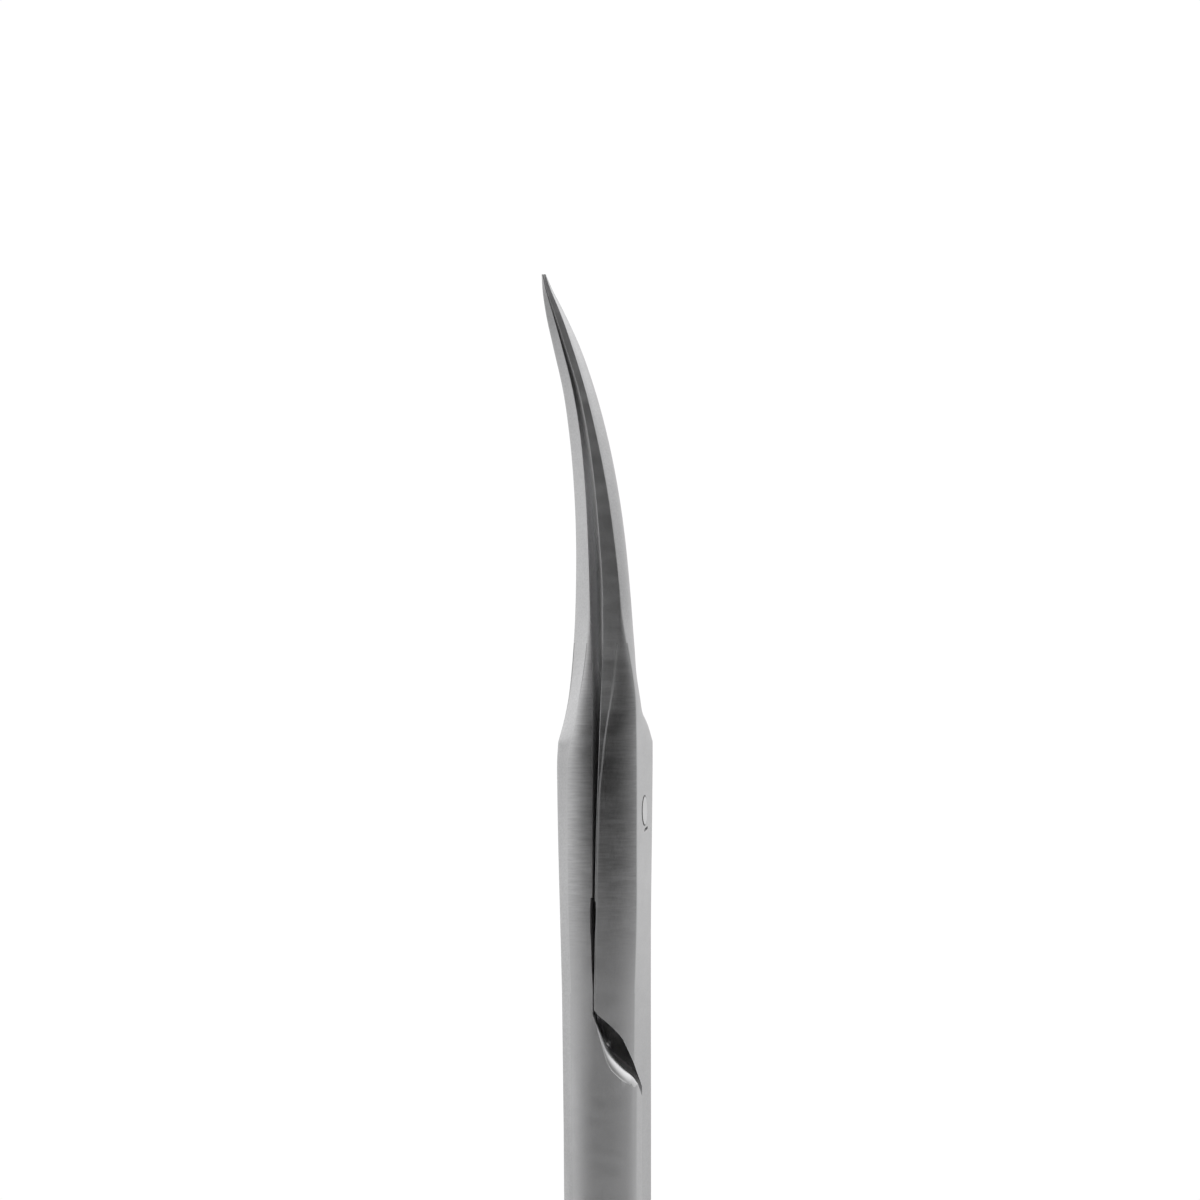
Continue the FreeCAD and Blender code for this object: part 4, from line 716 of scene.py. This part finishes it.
# ------------------------------------------------------------------ the two forgings
left_me = build_forging("left_forging", LEFT, LEFT_BLOCK, LEFT_SHANK)
cuts = cutters("left", RELIEF_LEFT, near_side(LEFT_BLOCK))
cuts.append(turned_solid("left_pivot", [(0.5, 0), (0.5, 1.12), (-1.20, 1.12), (-1.20, 1.75), (-2.04, 1.75), (-2.16, 1.87), (-2.6, 1.87), (-2.6, 0)], CUT))
left = finish_forging("left_forging", left_me, cuts, False, mats)

right_me = build_forging("right_forging", turned(RIGHT, 6), turned(RIGHT_BLOCK, 9), turned(RIGHT_SHANK, 9))
cuts = cutters("right", RELIEF_RIGHT, near_side(turned(RIGHT_BLOCK, 9)))
cuts.append(turned_solid("right_pivot", [(0.5, 0), (0.5, 1.12), (-0.45, 1.12), (-0.45, 0.81), (-2.08, 0.81), (-2.16, 0.83), (-2.6, 0.83), (-2.6, 0)], CUT))
# staking nick beside the screw's end
a = math.radians(9)
nick = [(0.46 + u * math.cos(a) - v * math.sin(a), -0.96 + u * math.sin(a) + v * math.cos(a)) for u, v in ((-0.5, -0.07), (0.5, -0.07), (0.5, 0.07), (-0.5, 0.07))]
cuts.append(plate("right_nick", [(-y, z) for y, z in nick], -2.4, -2.0, CUT))
right = finish_forging("right_forging", right_me, cuts, True, mats_right)

for piece, node, body in ((left, "left_half", "left"), (right, "right_half", "right")):
    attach(piece, body)
    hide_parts(node)
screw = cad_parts["pivot_screw"]
screw.data.materials.clear()
screw.data.materials.append(screw_mat)

# ------------------------------------------------------------------ floor
fm = bpy.data.materials.new("floor_pale")
fm.use_nodes = True
fb = fm.node_tree.nodes["Principled BSDF"]
fb.inputs["Base Color"].default_value = (0.76, 0.76, 0.76, 1)
fb.inputs["Roughness"].default_value = 0.75
for name, radius, lift, mirrored in (("floor", 1.2, 0.0, False), ("floor_mat", 0.16, 0.00001, True)):
    bm = bmesh.new()
    bmesh.ops.create_circle(bm, cap_ends=True, segments=128, radius=radius)
    me = bpy.data.meshes.new(name)
    bm.to_mesh(me)
    bm.free()
    me.materials.append(fm)
    floor = mesh_object(name, me)
    floor.location.z = -0.0001 + lift
    floor.visible_glossy = mirrored

# ------------------------------------------------------------------ camera
THETA = math.radians(10.2)
SCALE = 0.0522  # millimetres per photo pixel
right_dir = Vector((math.cos(THETA), math.sin(THETA), 0))
ahead = Vector((-math.sin(THETA), math.cos(THETA), 0))
off = (600 - 604.75) * SCALE
target = Vector((PIVOT[0], PIVOT[1], PIVOT[2] + (810.5 - 600) * SCALE)) + right_dir * off
DIST = 1200.0
cam_data = bpy.data.cameras.new("camera")
cam_data.sensor_width = 36.0
cam_data.sensor_fit = "AUTO"
cam_data.lens = 36.0 * DIST / (1200 * SCALE)
cam_data.clip_start = 0.01
cam_data.clip_end = 50
cam = bpy.data.objects.new("camera", cam_data)
bpy.context.scene.collection.objects.link(cam)
pos = target - ahead * DIST
cam.location = pos * MM
cam.rotation_euler = ahead.to_track_quat("-Z", "Y").to_euler()
bpy.context.scene.camera = cam

# ------------------------------------------------------------------ soft studio light
# A pale tent: bright behind and to the left, darker towards the photographer.
world = bpy.data.worlds.new("studio")
bpy.context.scene.world = world
world.use_nodes = True
nt = world.node_tree
N, L = nt.nodes, nt.links
N.clear()
tc = N.new("ShaderNodeTexCoord")
dots = []
for v in (-ahead, right_dir):
    d = N.new("ShaderNodeVectorMath")
    d.operation = "DOT_PRODUCT"
    d.inputs[1].default_value = tuple(v)
    L.new(tc.outputs["Generated"], d.inputs[0])
    dots.append(d.outputs["Value"])
ang = N.new("ShaderNodeMath")
ang.operation = "ARCTAN2"
L.new(dots[1], ang.inputs[0])
L.new(dots[0], ang.inputs[1])
mr = N.new("ShaderNodeMapRange")
mr.inputs["From Min"].default_value = -math.pi
mr.inputs["From Max"].default_value = math.pi
L.new(ang.outputs[0], mr.inputs["Value"])
ramp = N.new("ShaderNodeValToRGB")
ramp.color_ramp.interpolation = "LINEAR"
# azimuth from the photographer, negative to the left: brightness
STOPS = [(-180, 0.75), (-150, 0.78), (-120, 0.88), (-94, 0.84), (-72, 0.48), (-50, 0.11), (-30, 0.025), (-10, 0.01), (18, 0.01), (40, 0.05),
         (70, 0.17), (98, 0.34), (125, 0.58), (155, 0.85), (180, 0.75)]
els = ramp.color_ramp.elements
els[0].position, els[1].position = 0.0, 1.0
els[0].color = (STOPS[0][1],) * 3 + (1,)
els[1].color = (STOPS[-1][1],) * 3 + (1,)
for a, b in STOPS[1:-1]:
    e = els.new((a + 180) / 360)
    e.color = (b, b, b, 1)
L.new(mr.outputs["Result"], ramp.inputs["Fac"])
bg = N.new("ShaderNodeBackground")
bg.inputs["Strength"].default_value = 1.0
sep = N.new("ShaderNodeSeparateXYZ")
L.new(tc.outputs["Generated"], sep.inputs["Vector"])
high = N.new("ShaderNodeMapRange")
high.interpolation_type = "SMOOTHSTEP"
high.inputs["From Min"].default_value = 0.0
high.inputs["From Max"].default_value = 0.65
# the bright top reaches lower behind the tool than above the photographer
tilt = N.new("ShaderNodeMath")
tilt.operation = "MULTIPLY_ADD"
tilt.inputs[1].default_value = -0.45
front = N.new("ShaderNodeMath")
front.operation = "MAXIMUM"
front.inputs[1].default_value = 0.0
L.new(dots[0], front.inputs[0])
L.new(front.outputs[0], tilt.inputs[0])
L.new(sep.outputs["Z"], tilt.inputs[2])
L.new(tilt.outputs[0], high.inputs["Value"])
low = N.new("ShaderNodeMapRange")
low.interpolation_type = "SMOOTHSTEP"
low.inputs["From Min"].default_value = -0.6
low.inputs["From Max"].default_value = 0.0
low.inputs["To Min"].default_value = 0.45
low.inputs["To Max"].default_value = 1.0
L.new(sep.outputs["Z"], low.inputs["Value"])
dim = N.new("ShaderNodeVectorMath")
dim.operation = "SCALE"
L.new(ramp.outputs["Color"], dim.inputs[0])
L.new(low.outputs["Result"], dim.inputs["Scale"])
tent = N.new("ShaderNodeMix")
tent.data_type = "RGBA"
tent.inputs[7].default_value = (1.45, 1.45, 1.45, 1)
L.new(high.outputs["Result"], tent.inputs[0])
L.new(dim.outputs["Vector"], tent.inputs[6])
L.new(tent.outputs[2], bg.inputs["Color"])
white = N.new("ShaderNodeBackground")
white.inputs["Color"].default_value = (1, 1, 1, 1)
white.inputs["Strength"].default_value = 1.02
lp = N.new("ShaderNodeLightPath")
mixs = N.new("ShaderNodeMixShader")
L.new(lp.outputs["Is Camera Ray"], mixs.inputs["Fac"])
L.new(bg.outputs["Background"], mixs.inputs[1])
L.new(white.outputs["Background"], mixs.inputs[2])
out = N.new("ShaderNodeOutputWorld")
L.new(mixs.outputs["Shader"], out.inputs["Surface"])

vs = bpy.context.scene.view_settings
vs.view_transform = "Standard"
vs.look = "None"
vs.exposure = 0.0
vs.gamma = 1.0
